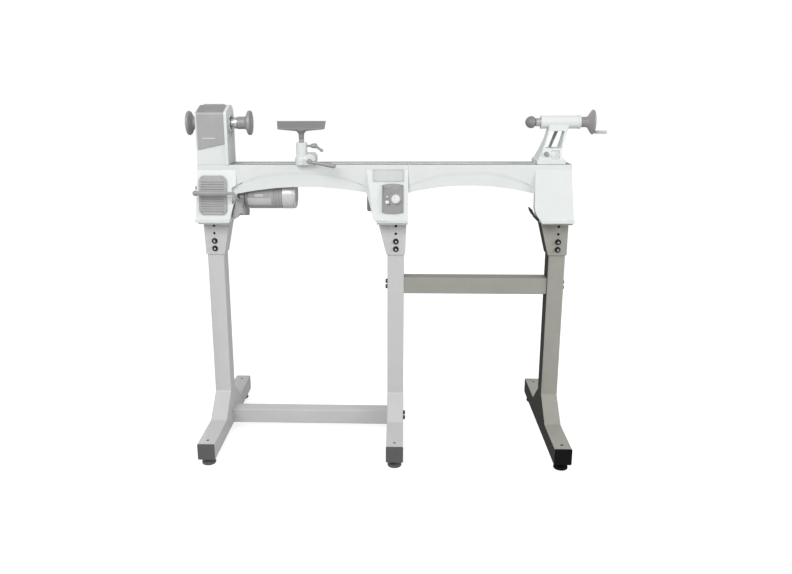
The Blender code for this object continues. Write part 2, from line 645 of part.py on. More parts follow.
def spindle():
    """The hollow spindle, from the outboard handwheel to the threaded nose."""
    left, right = -0.657, -0.474
    profile = [(0, 0.0048), (0, SPINDLE_R), (0.1465, SPINDLE_R), (0.1465, 0.0185), (0.1565, 0.0185),
               (0.1565, SPINDLE_R), (right - left, SPINDLE_R), (right - left, 0.0048)]
    made = turned("spindle", profile, (left, 0, SPINDLE_Z), (1, 0, 0), sides=24, ring=True)
    return complete(made, "bright_steel", pivot=(left, 0, SPINDLE_Z))


def stepped_pulley(radii, bore, flange):
    """A pulley's profile: a flange and a flat for the belt at each step."""
    width = STEP_WIDTH
    profile = [(0, bore)]
    for i, radius in enumerate(radii):
        start = i * width
        profile += [(start, radius + flange), (start + 0.0015, radius + flange), (start + 0.0020, radius),
                    (start + width - 0.0005, radius)]
    end = len(radii) * width
    profile += [(end - 0.0005, radii[-1] + flange), (end + 0.0010, radii[-1] + flange), (end + 0.0010, bore)]
    return profile


def spindle_pulley():
    profile = stepped_pulley(SPINDLE_STEPS, SPINDLE_R + GAP, 0.0015)
    made = turned("spindle_pulley", profile, (PULLEY_X, 0, SPINDLE_Z), (1, 0, 0), ring=True)
    return complete(made, "dark_cast", pivot=(PULLEY_X, 0, SPINDLE_Z))


def outboard_handwheel():
    """The handwheel on the spindle's left end, with its cone towards the headstock."""
    profile = [(0, SPINDLE_R + GAP), (0, 0.026), (0.001, 0.036), (0.003, PLATE_R), (0.008, PLATE_R),
               (0.011, 0.0355), (0.020, 0.019), (0.028, 0.0165), (0.028, SPINDLE_R + GAP)]
    made = turned("outboard_handwheel", profile, (-0.661, 0, SPINDLE_Z), (1, 0, 0), sides=28, ring=True)
    return complete(made, "dark_cast", pivot=(-0.661, 0, SPINDLE_Z))


def faceplate():
    """The faceplate and its hub, closed at the face where the work is screwed on."""
    profile = [(0.0275, 0), (0.0275, SPINDLE_R + GAP), (0, SPINDLE_R + GAP), (0, 0.0195), (0.028, 0.0195),
               (0.030, 0.034), (0.032, 0.0370), (0.035, PLATE_R), (0.041, PLATE_R), (0.043, 0.0371), (0.043, 0)]
    made = turned("faceplate", profile, (-0.5, 0, SPINDLE_Z), (1, 0, 0), sides=28)
    return complete(made, "dark_cast", pivot=(-0.5, 0, SPINDLE_Z))


def drive_belt():
    """A flat belt round the middle step of both pulleys."""
    wheels = [((0.0, SPINDLE_Z), SPINDLE_STEPS[1] + GAP), ((MOTOR_Y, MOTOR_Z), MOTOR_STEPS[1] + GAP)]
    (ay, az), (by, bz) = wheels[0][0], wheels[1][0]
    span = math.dist((ay, az), (by, bz))
    heading = math.degrees(math.atan2(bz - az, by - ay))
    spread = math.degrees(math.acos((wheels[0][1] - wheels[1][1]) / span))

    def loop(extra, steps):
        top = arc((ay, az), wheels[0][1] + extra, heading + spread, heading + 360 - spread, steps)
        return top + arc((by, bz), wheels[1][1] + extra, heading - spread, heading + spread, steps)

    made = slab("drive_belt", loop(BELT_THICK, 12), "x", BELT_X - 0.006, BELT_X + 0.006)
    cut(made, slab("inside", loop(0, 12), "x", BELT_X - 0.01, BELT_X + 0.01))
    return complete(made, "rubber")


def build_headstock():
    headstock_casting()
    headstock_cover()
    bearing("bearing_rear", (-0.6235, -0.6125), BEARING_R[0])
    bearing("bearing_front", (-0.5362, -0.5245), BEARING_R[1])
    spindle()
    spindle_pulley()
    outboard_handwheel()
    faceplate()
    drive_belt()


# ---------------------------------------------------------------- motor


def motor_body():
    """The motor's case: an end bell, the case, a finned band, a bright ring and the fan cover."""
    r = MOTOR_R
    profile = [(0, 0), (0, r - 0.004), (0.012, r - 0.003), (0.013, r), (0.095, r), (0.096, r - 0.002)]
    for i in range(3):
        start = 0.098 + i * 0.008
        profile += [(start, r - 0.002), (start, r), (start + 0.005, r), (start + 0.005, r - 0.002)]
    profile += [(0.122, r - 0.002), (0.122, r), (0.152, r), (0.153, r - 0.002), (0.162, r - 0.004), (0.165, 0)]
    made = turned("motor_body", profile, (-0.4860, MOTOR_Y, MOTOR_Z), (1, 0, 0), sides=24)
    start, end = (-0.50, MOTOR_Y, MOTOR_Z), (-0.425, MOTOR_Y, MOTOR_Z)
    cut(made, rod("shaft_bore", start, end, 0.0083, sides=16))
    return complete(made, "motor_grey")


def motor_rotor():
    """The motor's shaft with its stepped pulley."""
    shaft = 0.008
    steps = stepped_pulley(MOTOR_STEPS, shaft, 0.0015)[1:-1]
    start = -0.604
    profile = [(0, 0), (0, shaft), (PULLEY_X - start, shaft)]
    profile += [(PULLEY_X - start + along, radius) for along, radius in steps]
    profile += [(PULLEY_X - start + steps[-1][0], shaft), (-0.430 - start, shaft), (-0.430 - start, 0)]
    made = turned("motor_rotor", profile, (start, MOTOR_Y, MOTOR_Z), (1, 0, 0), sides=24)
    return complete(made, "bright_steel", pivot=(start, MOTOR_Y, MOTOR_Z))


def motor_mount():
    """The plate that carries the motor, its pivot barrel, and the belt-tension lever fixed to it."""
    low, high = -0.4965, -0.4865
    made = rod("motor_mount", (low, MOTOR_Y, MOTOR_Z), (high, MOTOR_Y, MOTOR_Z), MOTOR_R - 0.001, sides=24)
    arm = [(PIVOT_Y + 0.010, PIVOT_Z - 0.006), (PIVOT_Y - 0.008, PIVOT_Z - 0.010), (-0.016, 0.800),
           (-0.038, 0.806), (-0.038, 0.820), (0.010, 0.850), (0.046, 0.836), (PIVOT_Y + 0.012, PIVOT_Z + 0.004)]
    join(made, slab("arm", arm, "x", low, high))
    lug = [(low, 0.7640), (low, 0.8120), (-0.4870, 0.8120), (-0.4870, 0.7870), (-0.4833, 0.7835),
           (-0.4814, 0.7620), (-0.4900, 0.7700)]
    join(made, slab("lug", lug, "y", -0.060, -0.020))
    join(made, rod("barrel", (-0.5190, PIVOT_Y, PIVOT_Z), (high, PIVOT_Y, PIVOT_Z), 0.012, sides=20))
    cut(made, rod("pivot_hole", (-0.54, PIVOT_Y, PIVOT_Z), (-0.47, PIVOT_Y, PIVOT_Z), 0.0063, sides=16))
    cut(made, rod("shaft_hole", (-0.51, MOTOR_Y, MOTOR_Z), (-0.47, MOTOR_Y, MOTOR_Z), 0.011))
    x = (low + high) / 2
    bend = [(x, -0.030, 0.813), (x, -0.082, 0.813), (x - 0.001, -0.094, 0.817), (x - 0.004, LEVER_Y, 0.826),
            (x - 0.012, LEVER_Y, LEVER_Z - 0.002), (x - 0.022, LEVER_Y, LEVER_Z), (-0.530, LEVER_Y, LEVER_Z)]
    join(made, tube("lever_rod", bend, 0.0042))
    join(made, box("handle", (-0.618, -0.522), (LEVER_Y - 0.005, LEVER_Y + 0.005),
                   (LEVER_Z - 0.0070, LEVER_Z + 0.0070), bevel=0.002))
    join(made, rod("ball", (-0.632, LEVER_Y, LEVER_Z), (-0.614, LEVER_Y, LEVER_Z), 0.0090, sides=16))
    return complete(made, "dark_cast", pivot=(low, PIVOT_Y, PIVOT_Z))


def build_motor():
    motor_body()
    motor_rotor()
    motor_mount()


# ---------------------------------------------------------------- tool rest


def banjo_clamp_plate():
    """The plate that grips the underside of the rails."""
    x, y = CLAMP_BOLT.x, 0.0
    made = box("banjo_clamp_plate", (x - 0.030, x + 0.030), (y - 0.031, y + 0.031),
               (RAIL_BOTTOM_Z - 0.013, RAIL_BOTTOM_Z - GAP))
    cut(made, rod("bolt_hole", (x, CLAMP_BOLT.y, 0.86), (x, CLAMP_BOLT.y, 0.92), 0.0063, sides=16))
    return complete(made, "dark_cast", pivot=(x, y, RAIL_BOTTOM_Z))


def banjo_clamp_bolt():
    """The bolt that the banjo swivels round, with its head under the clamp plate."""
    x, y = CLAMP_BOLT.x, CLAMP_BOLT.y
    bottom = RAIL_BOTTOM_Z - 0.013 - GAP
    made = rod("banjo_clamp_bolt", (x, y, bottom - 0.001), (x, y, 0.9400), 0.006, sides=16)
    join(made, rod("head", (x, y, bottom - 0.008), (x, y, bottom), 0.0105, sides=6))
    return complete(made, "bright_steel", pivot=(x, y, bottom))


def banjo():
    """The tool rest's base, slotted so that it slides over its clamp bolt."""
    low = BED_TOP_Z + GAP
    left, right = -0.3155, -0.2570
    outline = arc((POST.x, POST.y), 0.0200, 180, 300, 6)
    outline += [(-0.265, -0.074), (right, -0.064), (right, 0.060)]
    outline += arc((right - 0.018, 0.078), 0.018, 0, 90, 3) + arc((left + 0.018, 0.078), 0.018, 90, 180, 3)
    outline += [(left, 0.060), (left, -0.040)]
    made = slab("banjo", outline, "z", low, BANJO_TOP_Z - 0.006)
    top = [(x * 0.86 + (left + right) * 0.07, y * 0.95) for x, y in outline]
    join(made, slab("crown", top, "z", BANJO_TOP_Z - 0.010, BANJO_TOP_Z))
    join(made, rod("holder", (POST.x, POST.y, low + 0.002), (POST.x, POST.y, 0.9915), 0.0175, sides=24))
    join(made, rod("boss", (LOCK.x, LOCK.y, 0.9395), (LOCK.x, LOCK.y + 0.030, 0.9395), 0.0160, sides=24))
    cut(made, rod("post_bore", (POST.x, POST.y, 0.934), (POST.x, POST.y, 1.0), POST_R + GAP, sides=20))
    cut(made, rod("stud_bore", (-0.280, POST.y, 0.981), (-0.26, POST.y, 0.981), 0.0043, sides=12))
    slot = arc((CLAMP_BOLT.x, CLAMP_BOLT.y), 0.0065, 180, 360, 6)
    slot += arc((CLAMP_BOLT.x, 0.066), 0.0065, 0, 180, 6)
    cut(made, slab("slot", slot, "z", 0.91, 0.9420))
    cut(made, rod("lock_bore", (LOCK.x, -0.12, LOCK.z), (LOCK.x, -0.034, LOCK.z), 0.0063, sides=16))
    return complete(made, "casting_white", pivot=(CLAMP_BOLT.x, CLAMP_BOLT.y, low))


def banjo_lock_lever():
    """The banjo's clamp handle, on the shaft that works the clamp."""
    made = rod("banjo_lock_lever", (LOCK.x, -0.100, LOCK.z), (LOCK.x, -0.038, LOCK.z), 0.006, sides=16)
    join(made, rod("hub", (LOCK.x, -0.103, LOCK.z), (LOCK.x, -0.0800, LOCK.z), 0.0075, sides=16))
    tip = (-0.181, -0.106, 0.9220)
    join(made, rod("bar", (LOCK.x + 0.002, -0.094, LOCK.z - 0.001), tip, 0.0040, 0.0070, sides=12))
    return complete(made, "dark_cast", pivot=LOCK)


def tool_rest_lock_lever():
    """The small clamping lever that holds the tool rest's post."""
    made = rod("tool_rest_lock_lever", (-0.2795, RATCHET.y, RATCHET.z), (-0.2590, RATCHET.y, RATCHET.z), 0.004,
               sides=12)
    join(made, rod("hub", (-0.2610, RATCHET.y, RATCHET.z), (-0.2420, RATCHET.y, RATCHET.z), 0.0065, 0.0080, sides=16))
    tip = (-0.2230, RATCHET.y - 0.027, RATCHET.z - 0.014)
    join(made, rod("arm", (-0.2480, RATCHET.y, RATCHET.z), tip, 0.0035, 0.0048, sides=12))
    return complete(made, "black_steel", pivot=RATCHET)


def tool_rest_post():
    made = rod("tool_rest_post", (POST.x, POST.y, 0.9375), (POST.x, POST.y, 1.0028), POST_R, sides=20)
    return complete(made, "dark_cast", pivot=(POST.x, POST.y, 0.9375))


def tool_rest():
    """The cast rest on its post: a ridge for the tool, a sloping front and a flared neck."""
    x, y = POST.x, POST.y
    outline = [(x - REST_HALF_X, 1.0565), (x - REST_HALF_X + 0.005, 1.0320), (x - 0.018, 1.0270),
               (x + 0.018, 1.0270), (x + REST_HALF_X - 0.005, 1.0320), (x + REST_HALF_X, 1.0565)]
    section = [(y + 0.011, 1.0565), (y + 0.007, 1.0565), (y - 0.016, 1.036), (y - 0.016, 1.031),
               (y - 0.009, 1.022), (y + 0.009, 1.022), (y + 0.012, 1.034)]
    made = slab("tool_rest", outline, "y", y - 0.02, y + 0.02)
    overlap(made, slab("section", section, "x", x - 0.09, x + 0.09))
    flare = [(0, 0), (0, 0.0082), (0.011, 0.0084), (0.016, 0.0096), (0.020, 0.0125), (0.0255, 0.0180), (0.0265, 0)]
    join(made, turned("neck", flare, (x, y, REST_LOW_Z), (0, 0, 1), sides=20))
    return complete(made, "dark_cast", pivot=(x, y, REST_LOW_Z))


def build_tool_rest():
    banjo_clamp_plate()
    banjo_clamp_bolt()
    banjo()
    banjo_lock_lever()
    tool_rest_lock_lever()
    tool_rest_post()
    tool_rest()


# ---------------------------------------------------------------- tailstock


def tailstock_body():
    """The slanted frame with its window, its base on the rails and the barrel that holds the quill."""
    low = BED_TOP_Z + GAP
    frame = [(0.4425, 0.934), (0.4555, 0.960), (0.4688, 0.995), (0.4776, 1.029), (0.4800, 1.044), (0.541, 1.044),
             (0.5245, 0.9896), (0.5170, 0.9573), (0.5190, 0.9440), (0.5280, 0.934)]
    made = slab("tailstock_body", frame, "y", -0.06, 0.06)
    overlap(made, slab("taper", [(-0.050, 0.930), (-0.024, 1.000), (-0.018, 1.046), (0.018, 1.046), (0.024, 1.000),
                                 (0.050, 0.930)], "x", 0.40, 0.56))
    join(made, box("base", (0.4400, 0.5290), (-BED_HALF_Y, BED_HALF_Y), (low, 0.9360)))
    join(made, box("key", (0.440, 0.515), (-SLOT_HALF_Y + 0.0005, SLOT_HALF_Y - 0.0005), (0.908, low + 0.001)))
    window = [(0.4672, 0.9705), (0.5150, 0.9705), (0.5265, 1.0225), (0.4800, 1.0225)]
    cut(made, slab("window", window, "y", -0.06, 0.06))
    join(made, rod("barrel", (BARREL_X[0], 0, SPINDLE_Z), (BARREL_X[1], 0, SPINDLE_Z), BARREL_R, sides=28))
    join(made, rod("lock_boss", (QUILL_LOCK_X, 0.015, SPINDLE_Z), (QUILL_LOCK_X, 0.024, SPINDLE_Z), 0.009, sides=16))
    cut(made, rod("quill_bore", (0.44, 0, SPINDLE_Z), (0.5725, 0, SPINDLE_Z), QUILL_R + GAP, sides=24))
    cut(made, rod("screw_bore", (0.56, 0, SPINDLE_Z), (0.60, 0, SPINDLE_Z), 0.0080, sides=16))
    cut(made, rod("lock_bore", (QUILL_LOCK_X, 0.0145, SPINDLE_Z), (QUILL_LOCK_X, 0.04, SPINDLE_Z), 0.0043, sides=12))
    start, end = (CLAMP_SHAFT.x, -0.07, CLAMP_SHAFT.z), (CLAMP_SHAFT.x, 0.07, CLAMP_SHAFT.z)
    cut(made, rod("shaft_bore", start, end, 0.0068, sides=16))
    cut(made, rod("clamp_bore", (0.4765, 0, 0.90), (0.4765, 0, 0.9445), 0.0055, sides=16))
    return complete(made, "casting_white", pivot=(0.4765, 0, BED_TOP_Z))


def tailstock_clamp_plate():
    """The plate under the rails and the bolt that the clamp shaft pulls up."""
    x = 0.4765
    bottom = RAIL_BOTTOM_Z - 0.013
    made = box("tailstock_clamp_plate", (x - 0.030, x + 0.030), (-0.031, 0.031), (bottom, RAIL_BOTTOM_Z - GAP))
    join(made, rod("bolt", (x, 0, bottom + 0.002), (x, 0, 0.9440), 0.0050, sides=12))
    join(made, rod("nut", (x, 0, bottom - 0.008), (x, 0, bottom + 0.001), 0.0095, sides=6))
    return complete(made, "dark_cast", pivot=(x, 0, RAIL_BOTTOM_Z))


def tailstock_clamp_lever():
    """The clamp shaft across the tailstock, and its handle at the back."""
    x, z = CLAMP_SHAFT.x, CLAMP_SHAFT.z
    made = rod("tailstock_clamp_lever", (x, -0.0520, z), (x, 0.066, z), 0.0065, sides=16)
    join(made, rod("hub", (x, 0.0520, z), (x, 0.068, z), 0.0095, sides=16))
    bend = [(x, 0.060, z), (0.487, 0.062, z + 0.003), (0.4955, 0.063, z + 0.010), (0.500, 0.064, z + 0.021)]
    join(made, tube("shank", bend, 0.0045))
    join(made, rod("grip", (0.4990, 0.064, z + 0.018), (0.5260, 0.066, z + 0.088), 0.0045, 0.0058, sides=12))
    return complete(made, "dark_cast", pivot=(x, 0.060, z))


def quill():
    """The sliding spindle, bored for the live centre in front and for the screw behind."""
    left, right = 0.438, 0.560
    made = rod("quill", (left, 0, SPINDLE_Z), (right, 0, SPINDLE_Z), QUILL_R, sides=24)
    cut(made, rod("taper_bore", (left - 0.01, 0, SPINDLE_Z), (0.480, 0, SPINDLE_Z), 0.0083, sides=16))
    cut(made, rod("screw_bore", (0.493, 0, SPINDLE_Z), (right + 0.01, 0, SPINDLE_Z), 0.0068, sides=16))
    return complete(made, "bright_steel", pivot=(left, 0, SPINDLE_Z))


def live_center():
    """The revolving centre: a point, a rounded body and the shank in the quill."""
    profile = [(0, 0), (0.0005, 0.0050), (0.0035, 0.0105), (0.0085, 0.0155), (0.0145, 0.0182), (0.0200, 0.0188),
               (0.0260, 0.0170), (0.0310, 0.0120), (0.0315, 0.0080), (0.0640, 0.0072), (0.0640, 0)]
    made = turned("live_center", profile, (0.406, 0, SPINDLE_Z), (1, 0, 0), sides=24)
    return complete(made, "dark_cast", pivot=(0.406, 0, SPINDLE_Z))


def tailstock_handwheel():
    """The handwheel on the quill's screw."""
    profile = [(0, 0), (0, 0.0062), (0.0735, 0.0062), (0.0735, 0.0155), (0.092, 0.0160), (0.094, 0.0175),
               (0.104, 0.0335), (0.107, 0.0380), (0.111, 0.0380), (0.113, 0.0360), (0.113, 0.0300), (0.111, 0.0280),
               (0.109, 0.0120), (0.112, 0.0090), (0.112, 0)]
    start = 0.505
    made = turned("tailstock_handwheel", profile, (start, 0, SPINDLE_Z), (1, 0, 0), sides=28)
    join(made, rod("pin", (0.612, 0, SPINNER_Z), (0.655, 0, SPINNER_Z), 0.0028, sides=10))
    return complete(made, "dark_cast", pivot=(start, 0, SPINDLE_Z))


def handwheel_spinner():
    """The handle that turns on its pin."""
    profile = [(0, 0.0031), (0, 0.0046), (0.003, 0.0052), (0.034, 0.0048), (0.0375, 0.0042), (0.0375, 0.0031)]
    made = turned("handwheel_spinner", profile, (0.6235, 0, SPINNER_Z), (1, 0, 0), sides=14, ring=True)
    return complete(made, "cover_grey", pivot=(0.6235, 0, SPINNER_Z))


def quill_lock_lever():
    """The small lever at the back of the barrel that clamps the quill."""
    x, z = QUILL_LOCK_X, SPINDLE_Z
    made = rod("quill_lock_lever", (x, 0.0150, z), (x, 0.030, z), 0.004, sides=12)
    join(made, rod("hub", (x, 0.0245, z), (x, 0.038, z), 0.0070, sides=16))
    join(made, rod("arm", (x, 0.0320, z), (x + 0.042, 0.036, z - 0.004), 0.0035, 0.0052, sides=12))
    return complete(made, "dark_cast", pivot=(x, 0.030, z))


def build_tailstock():
    tailstock_body()
    tailstock_clamp_plate()
    tailstock_clamp_lever()
    quill()
    live_center()
    tailstock_handwheel()
    handwheel_spinner()
    quill_lock_lever()


clear_scene()
build_stand()
build_bed()
build_headstock()
build_motor()
build_tool_rest()
build_tailstock()
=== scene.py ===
"""The looks of a wood lathe with a bed extension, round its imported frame. Everything is in metres, +Z up."""

import json
import math

import bmesh
import bpy
from mathutils import Matrix, Vector


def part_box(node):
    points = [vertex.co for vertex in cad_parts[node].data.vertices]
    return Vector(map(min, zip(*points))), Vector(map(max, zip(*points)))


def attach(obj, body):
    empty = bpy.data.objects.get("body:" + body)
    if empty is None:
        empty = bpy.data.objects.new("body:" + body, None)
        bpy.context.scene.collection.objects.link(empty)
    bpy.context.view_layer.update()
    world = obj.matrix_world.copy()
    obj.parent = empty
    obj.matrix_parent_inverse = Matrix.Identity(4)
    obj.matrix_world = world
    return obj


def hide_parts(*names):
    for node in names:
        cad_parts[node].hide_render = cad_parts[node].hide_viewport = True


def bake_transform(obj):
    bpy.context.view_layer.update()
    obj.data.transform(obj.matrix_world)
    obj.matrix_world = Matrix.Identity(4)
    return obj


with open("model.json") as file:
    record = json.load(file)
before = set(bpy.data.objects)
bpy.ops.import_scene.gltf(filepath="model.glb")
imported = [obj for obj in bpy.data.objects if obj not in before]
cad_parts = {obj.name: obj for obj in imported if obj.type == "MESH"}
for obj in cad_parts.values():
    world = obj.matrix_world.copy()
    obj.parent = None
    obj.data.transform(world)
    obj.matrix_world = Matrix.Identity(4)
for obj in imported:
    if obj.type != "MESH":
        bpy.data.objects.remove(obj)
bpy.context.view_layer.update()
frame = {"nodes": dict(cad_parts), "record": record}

NODES = frame["nodes"]
BODY_OF = {n: body for body, members in frame["record"]["behaviour"]["bodies"].items() for n in members}
SLOT_OF = {part["node"]: part["material_slot"] for part in frame["record"]["subparts"]}

X = Vector((1, 0, 0))
Y = Vector((0, 1, 0))
Z = Vector((0, 0, 1))


# ---------------------------------------------------------------- camera, floor and lights

CAMERA_AT = (0.0188, -2.4372, 1.1561)
CAMERA_YAW, CAMERA_PITCH, CAMERA_ROLL = -0.04, 0.2499, -0.0042
CAMERA_LENS_MM = 34.43
CAMERA_SHIFT = (0.0314, -0.0078)
FLOOR_RADIUS, FLOOR_Z = 14.0, -0.0004
FLOOR_ALBEDO = 0.5
FLOOR_GLOW, FLOOR_SEEN = 0.05, 0.75
WORLD_LIGHT, WORLD_SEEN = 0.58, 1.0
LIGHTS_AIM = Vector((0, 0, 0.6))
LIGHTS = {"key": ((-1.3, -3.1, 2.7), (2.5, 2.0), 95.0),  # place, size, watts
          "fill": ((2.4, -1.0, 1.5), (1.0, 1.0), 26.0),
          "back": ((-0.2, 2.8, 2.8), (3.0, 1.6), 8.0)}


def make_camera():
    data = bpy.data.cameras.new("camera")
    data.lens = CAMERA_LENS_MM
    data.sensor_width = 36.0
    data.shift_x, data.shift_y = CAMERA_SHIFT
    camera = bpy.data.objects.new("camera", data)
    bpy.context.scene.collection.objects.link(camera)
    turn = Matrix.Rotation(-CAMERA_YAW, 4, "Z") @ Matrix.Rotation(math.pi / 2 - CAMERA_PITCH, 4, "X")
    turn = turn @ Matrix.Rotation(CAMERA_ROLL, 4, "Z")
    camera.matrix_world = Matrix.Translation(CAMERA_AT) @ turn
    bpy.context.scene.camera = camera


def seen_as(tree, light, seen, socket):
    """Sets a strength socket to one value for the light it gives and another for how bright it looks."""
    path = tree.nodes.new("ShaderNodeLightPath")
    strength = tree.nodes.new("ShaderNodeMapRange")
    strength.inputs["To Min"].default_value = light
    strength.inputs["To Max"].default_value = seen
    tree.links.new(path.outputs["Is Camera Ray"], strength.inputs["Value"])
    tree.links.new(strength.outputs["Result"], socket)


def make_stage():
    bm = bmesh.new()
    bmesh.ops.create_circle(bm, cap_ends=True, segments=96, radius=FLOOR_RADIUS)
    mesh = bpy.data.meshes.new("floor")
    bm.to_mesh(mesh)
    bm.free()
    floor = bpy.data.objects.new("floor", mesh)
    bpy.context.scene.collection.objects.link(floor)
    floor.location.z = FLOOR_Z
    paint = bpy.data.materials.new("floor_paint")
    paint.use_nodes = True
    shader = paint.node_tree.nodes["Principled BSDF"]
    shader.inputs["Base Color"].default_value = (*[FLOOR_ALBEDO] * 3, 1)
    shader.inputs["Roughness"].default_value = 0.9
    shader.inputs["Specular IOR Level"].default_value = 0.0
    shader.inputs["Emission Color"].default_value = (1, 1, 1, 1)
    seen_as(paint.node_tree, FLOOR_GLOW, FLOOR_SEEN, shader.inputs["Emission Strength"])
    mesh.materials.append(paint)


def make_lights():
    world = bpy.data.worlds.new("studio")
    bpy.context.scene.world = world
    world.use_nodes = True
    tree = world.node_tree
    background = tree.nodes["Background"]
    background.inputs["Color"].default_value = (1, 1, 1, 1)
    seen_as(tree, WORLD_LIGHT, WORLD_SEEN, background.inputs["Strength"])
    for name, (place, size, watts) in LIGHTS.items():
        data = bpy.data.lights.new(name, "AREA")
        data.shape = "RECTANGLE"
        data.size, data.size_y = size
        data.energy = watts
        light = bpy.data.objects.new(name, data)
        bpy.context.scene.collection.objects.link(light)
        light.location = place
        light.rotation_euler = (LIGHTS_AIM - Vector(place)).to_track_quat("-Z", "Y").to_euler()
    view = bpy.context.scene.view_settings
    view.view_transform = "Standard"
    view.look = "None"


# ---------------------------------------------------------------- materials


def finish(name, colour, rough, metallic=0.0, mottle=0.05, mottle_scale=18.0, grain=0.08,
           grain_scale=900.0, grain_size=0.0004, swell=0.0, stretch=(1, 1, 1), coat=0.0, specular=0.5):
    """A material with a mottled colour, uneven gloss, a fine grain and a broad swell, in object coordinates.

    mottle is the share by which the colour varies, grain and swell are the strengths of the two bumps, and
    stretch squeezes the texture along an axis, as turning or grinding marks are.
    """
    made = bpy.data.materials.new(name)
    made.use_nodes = True
    tree = made.node_tree
    shader = tree.nodes["Principled BSDF"]
    shader.inputs["Metallic"].default_value = metallic
    shader.inputs["Coat Weight"].default_value = coat
    shader.inputs["Coat Roughness"].default_value = 0.15
    shader.inputs["Specular IOR Level"].default_value = specular
    where = tree.nodes.new("ShaderNodeTexCoord")
    mapping = tree.nodes.new("ShaderNodeMapping")
    mapping.inputs["Scale"].default_value = stretch
    tree.links.new(where.outputs["Object"], mapping.inputs["Vector"])

    def noise(scale, detail, stretched=True):
        node = tree.nodes.new("ShaderNodeTexNoise")
        node.inputs["Scale"].default_value = scale
        node.inputs["Detail"].default_value = detail
        source = mapping.outputs["Vector"] if stretched else where.outputs["Object"]
        tree.links.new(source, node.inputs["Vector"])
        return node.outputs["Fac"]

    def spread(value, low, high):
        node = tree.nodes.new("ShaderNodeMapRange")
        node.inputs["From Min"].default_value = 0.3
        node.inputs["From Max"].default_value = 0.7
        node.inputs["To Min"].default_value = low
        node.inputs["To Max"].default_value = high
        tree.links.new(value, node.inputs["Value"])
        return node.outputs["Result"]

    mix = tree.nodes.new("ShaderNodeMix")
    mix.data_type = "RGBA"
    mix.inputs["A"].default_value = (*[c * (1 - mottle) for c in colour], 1)
    mix.inputs["B"].default_value = (*[min(1.0, c * (1 + mottle)) for c in colour], 1)
    tree.links.new(spread(noise(mottle_scale, 5.0), 0.0, 1.0), mix.inputs["Factor"])
    tree.links.new(mix.outputs["Result"], shader.inputs["Base Color"])
    rough_noise = spread(noise(mottle_scale * 3.7, 4.0), rough - 0.06, rough + 0.06)
    tree.links.new(rough_noise, shader.inputs["Roughness"])
    normal = None
    for strength, scale, depth in ((swell, 60.0, 0.002), (grain, grain_scale, grain_size)):
        if strength:
            bump = tree.nodes.new("ShaderNodeBump")
            bump.inputs["Strength"].default_value = strength
            bump.inputs["Distance"].default_value = depth
            tree.links.new(noise(scale, 3.0), bump.inputs["Height"])
            if normal:
                tree.links.new(normal, bump.inputs["Normal"])
            normal = bump.outputs["Normal"]
    if normal:
        tree.links.new(normal, shader.inputs["Normal"])
    return made


def grey(value):
    return (value, value, value)


CASTING = finish("casting_paint", (0.655, 0.685, 0.67), 0.36, mottle=0.02, grain=0.25, swell=0.1, coat=0.25)
WAYS = finish("ground_iron", grey(0.195), 0.42, metallic=0.4, mottle=0.06, grain=0.12, grain_scale=260.0,
              grain_size=0.0001, stretch=(0.05, 1, 1))
COVER = finish("cover_paint", grey(0.33), 0.42, mottle=0.05, grain=0.45, grain_scale=1500.0, coat=0.1)
DARK = finish("dark_cast", grey(0.3), 0.45, metallic=0.1, mottle=0.06, grain=0.3, grain_scale=1100.0)
MOTOR = finish("motor_paint", grey(0.35), 0.48, mottle=0.06, grain=0.3, grain_scale=700.0)
PANEL = finish("panel_plastic", grey(0.26), 0.5, mottle=0.05, grain=0.5, grain_scale=1800.0)
STAND_LIGHT = finish("stand_light", (0.515, 0.52, 0.515), 0.4, mottle=0.02, grain=0.3, grain_scale=650.0)
STAND_GREY = finish("stand_grey", (0.3, 0.295, 0.262), 0.4, mottle=0.04, grain=0.3, grain_scale=650.0)
# painted shade: a near-black copy of the stand paint for the right leg's faces turned to -X and for its
# bracket's wing, which face away from the light
STAND_SIDE_PAINTED_SHADE = finish("stand_side_painted_shade", (0.04, 0.04, 0.037), 0.75, mottle=0.06, grain=0.2, grain_scale=650.0,
                    specular=0.12)
STEEL = finish("bright_steel", grey(0.72), 0.28, metallic=1.0, mottle=0.05, grain=0.3, grain_scale=500.0,
               grain_size=0.0002, stretch=(1, 0.15, 0.15))
RING = finish("zinc_plate", grey(0.64), 0.36, metallic=0.3, mottle=0.1, mottle_scale=45.0, grain=0.15)
BLACK = finish("black_steel", grey(0.035), 0.24, metallic=0.75, mottle=0.12, grain=0.1)
RUBBER = finish("rubber", grey(0.03), 0.75, mottle=0.12, grain=0.6, grain_scale=1400.0)
CAP = finish("cap_plastic", grey(0.095), 0.5, mottle=0.08, grain=0.5, grain_scale=1500.0)
CAP_BLACK = finish("cap_black", grey(0.006), 0.75, mottle=0.08, grain=0.3, grain_scale=1500.0, specular=0.1)
KNOB = finish("knob_plastic", grey(0.68), 0.35, mottle=0.04, grain=0.2)
LABEL = finish("label_plate", grey(0.56), 0.38, metallic=0.2, mottle=0.05, grain=0.15)
PLATE = finish("badge_plate", (0.52, 0.54, 0.53), 0.38, mottle=0.03, grain=0.15)
# painted shade: a darker copy of cover_paint for the headstock cover's upward-facing top
COVER_TOP_PAINTED_SHADE = finish("cover_top_painted_shade", grey(0.245), 0.46, mottle=0.05, grain=0.45, grain_scale=1500.0)
# painted shade: a darker copy of dark_cast for the tool rest, whose faces turn up into the light; the live
# centre takes the same darker grey
REST_PAINTED_SHADE = finish("rest_painted_shade", grey(0.215), 0.5, metallic=0.1, mottle=0.06, grain=0.3, grain_scale=1100.0)
# painted shade: a darker copy of stand_grey for the upper crossbar's top faces
STAND_TOP_PAINTED_SHADE = finish("stand_top_painted_shade", (0.2, 0.197, 0.18), 0.42, mottle=0.04, grain=0.3, grain_scale=650.0)
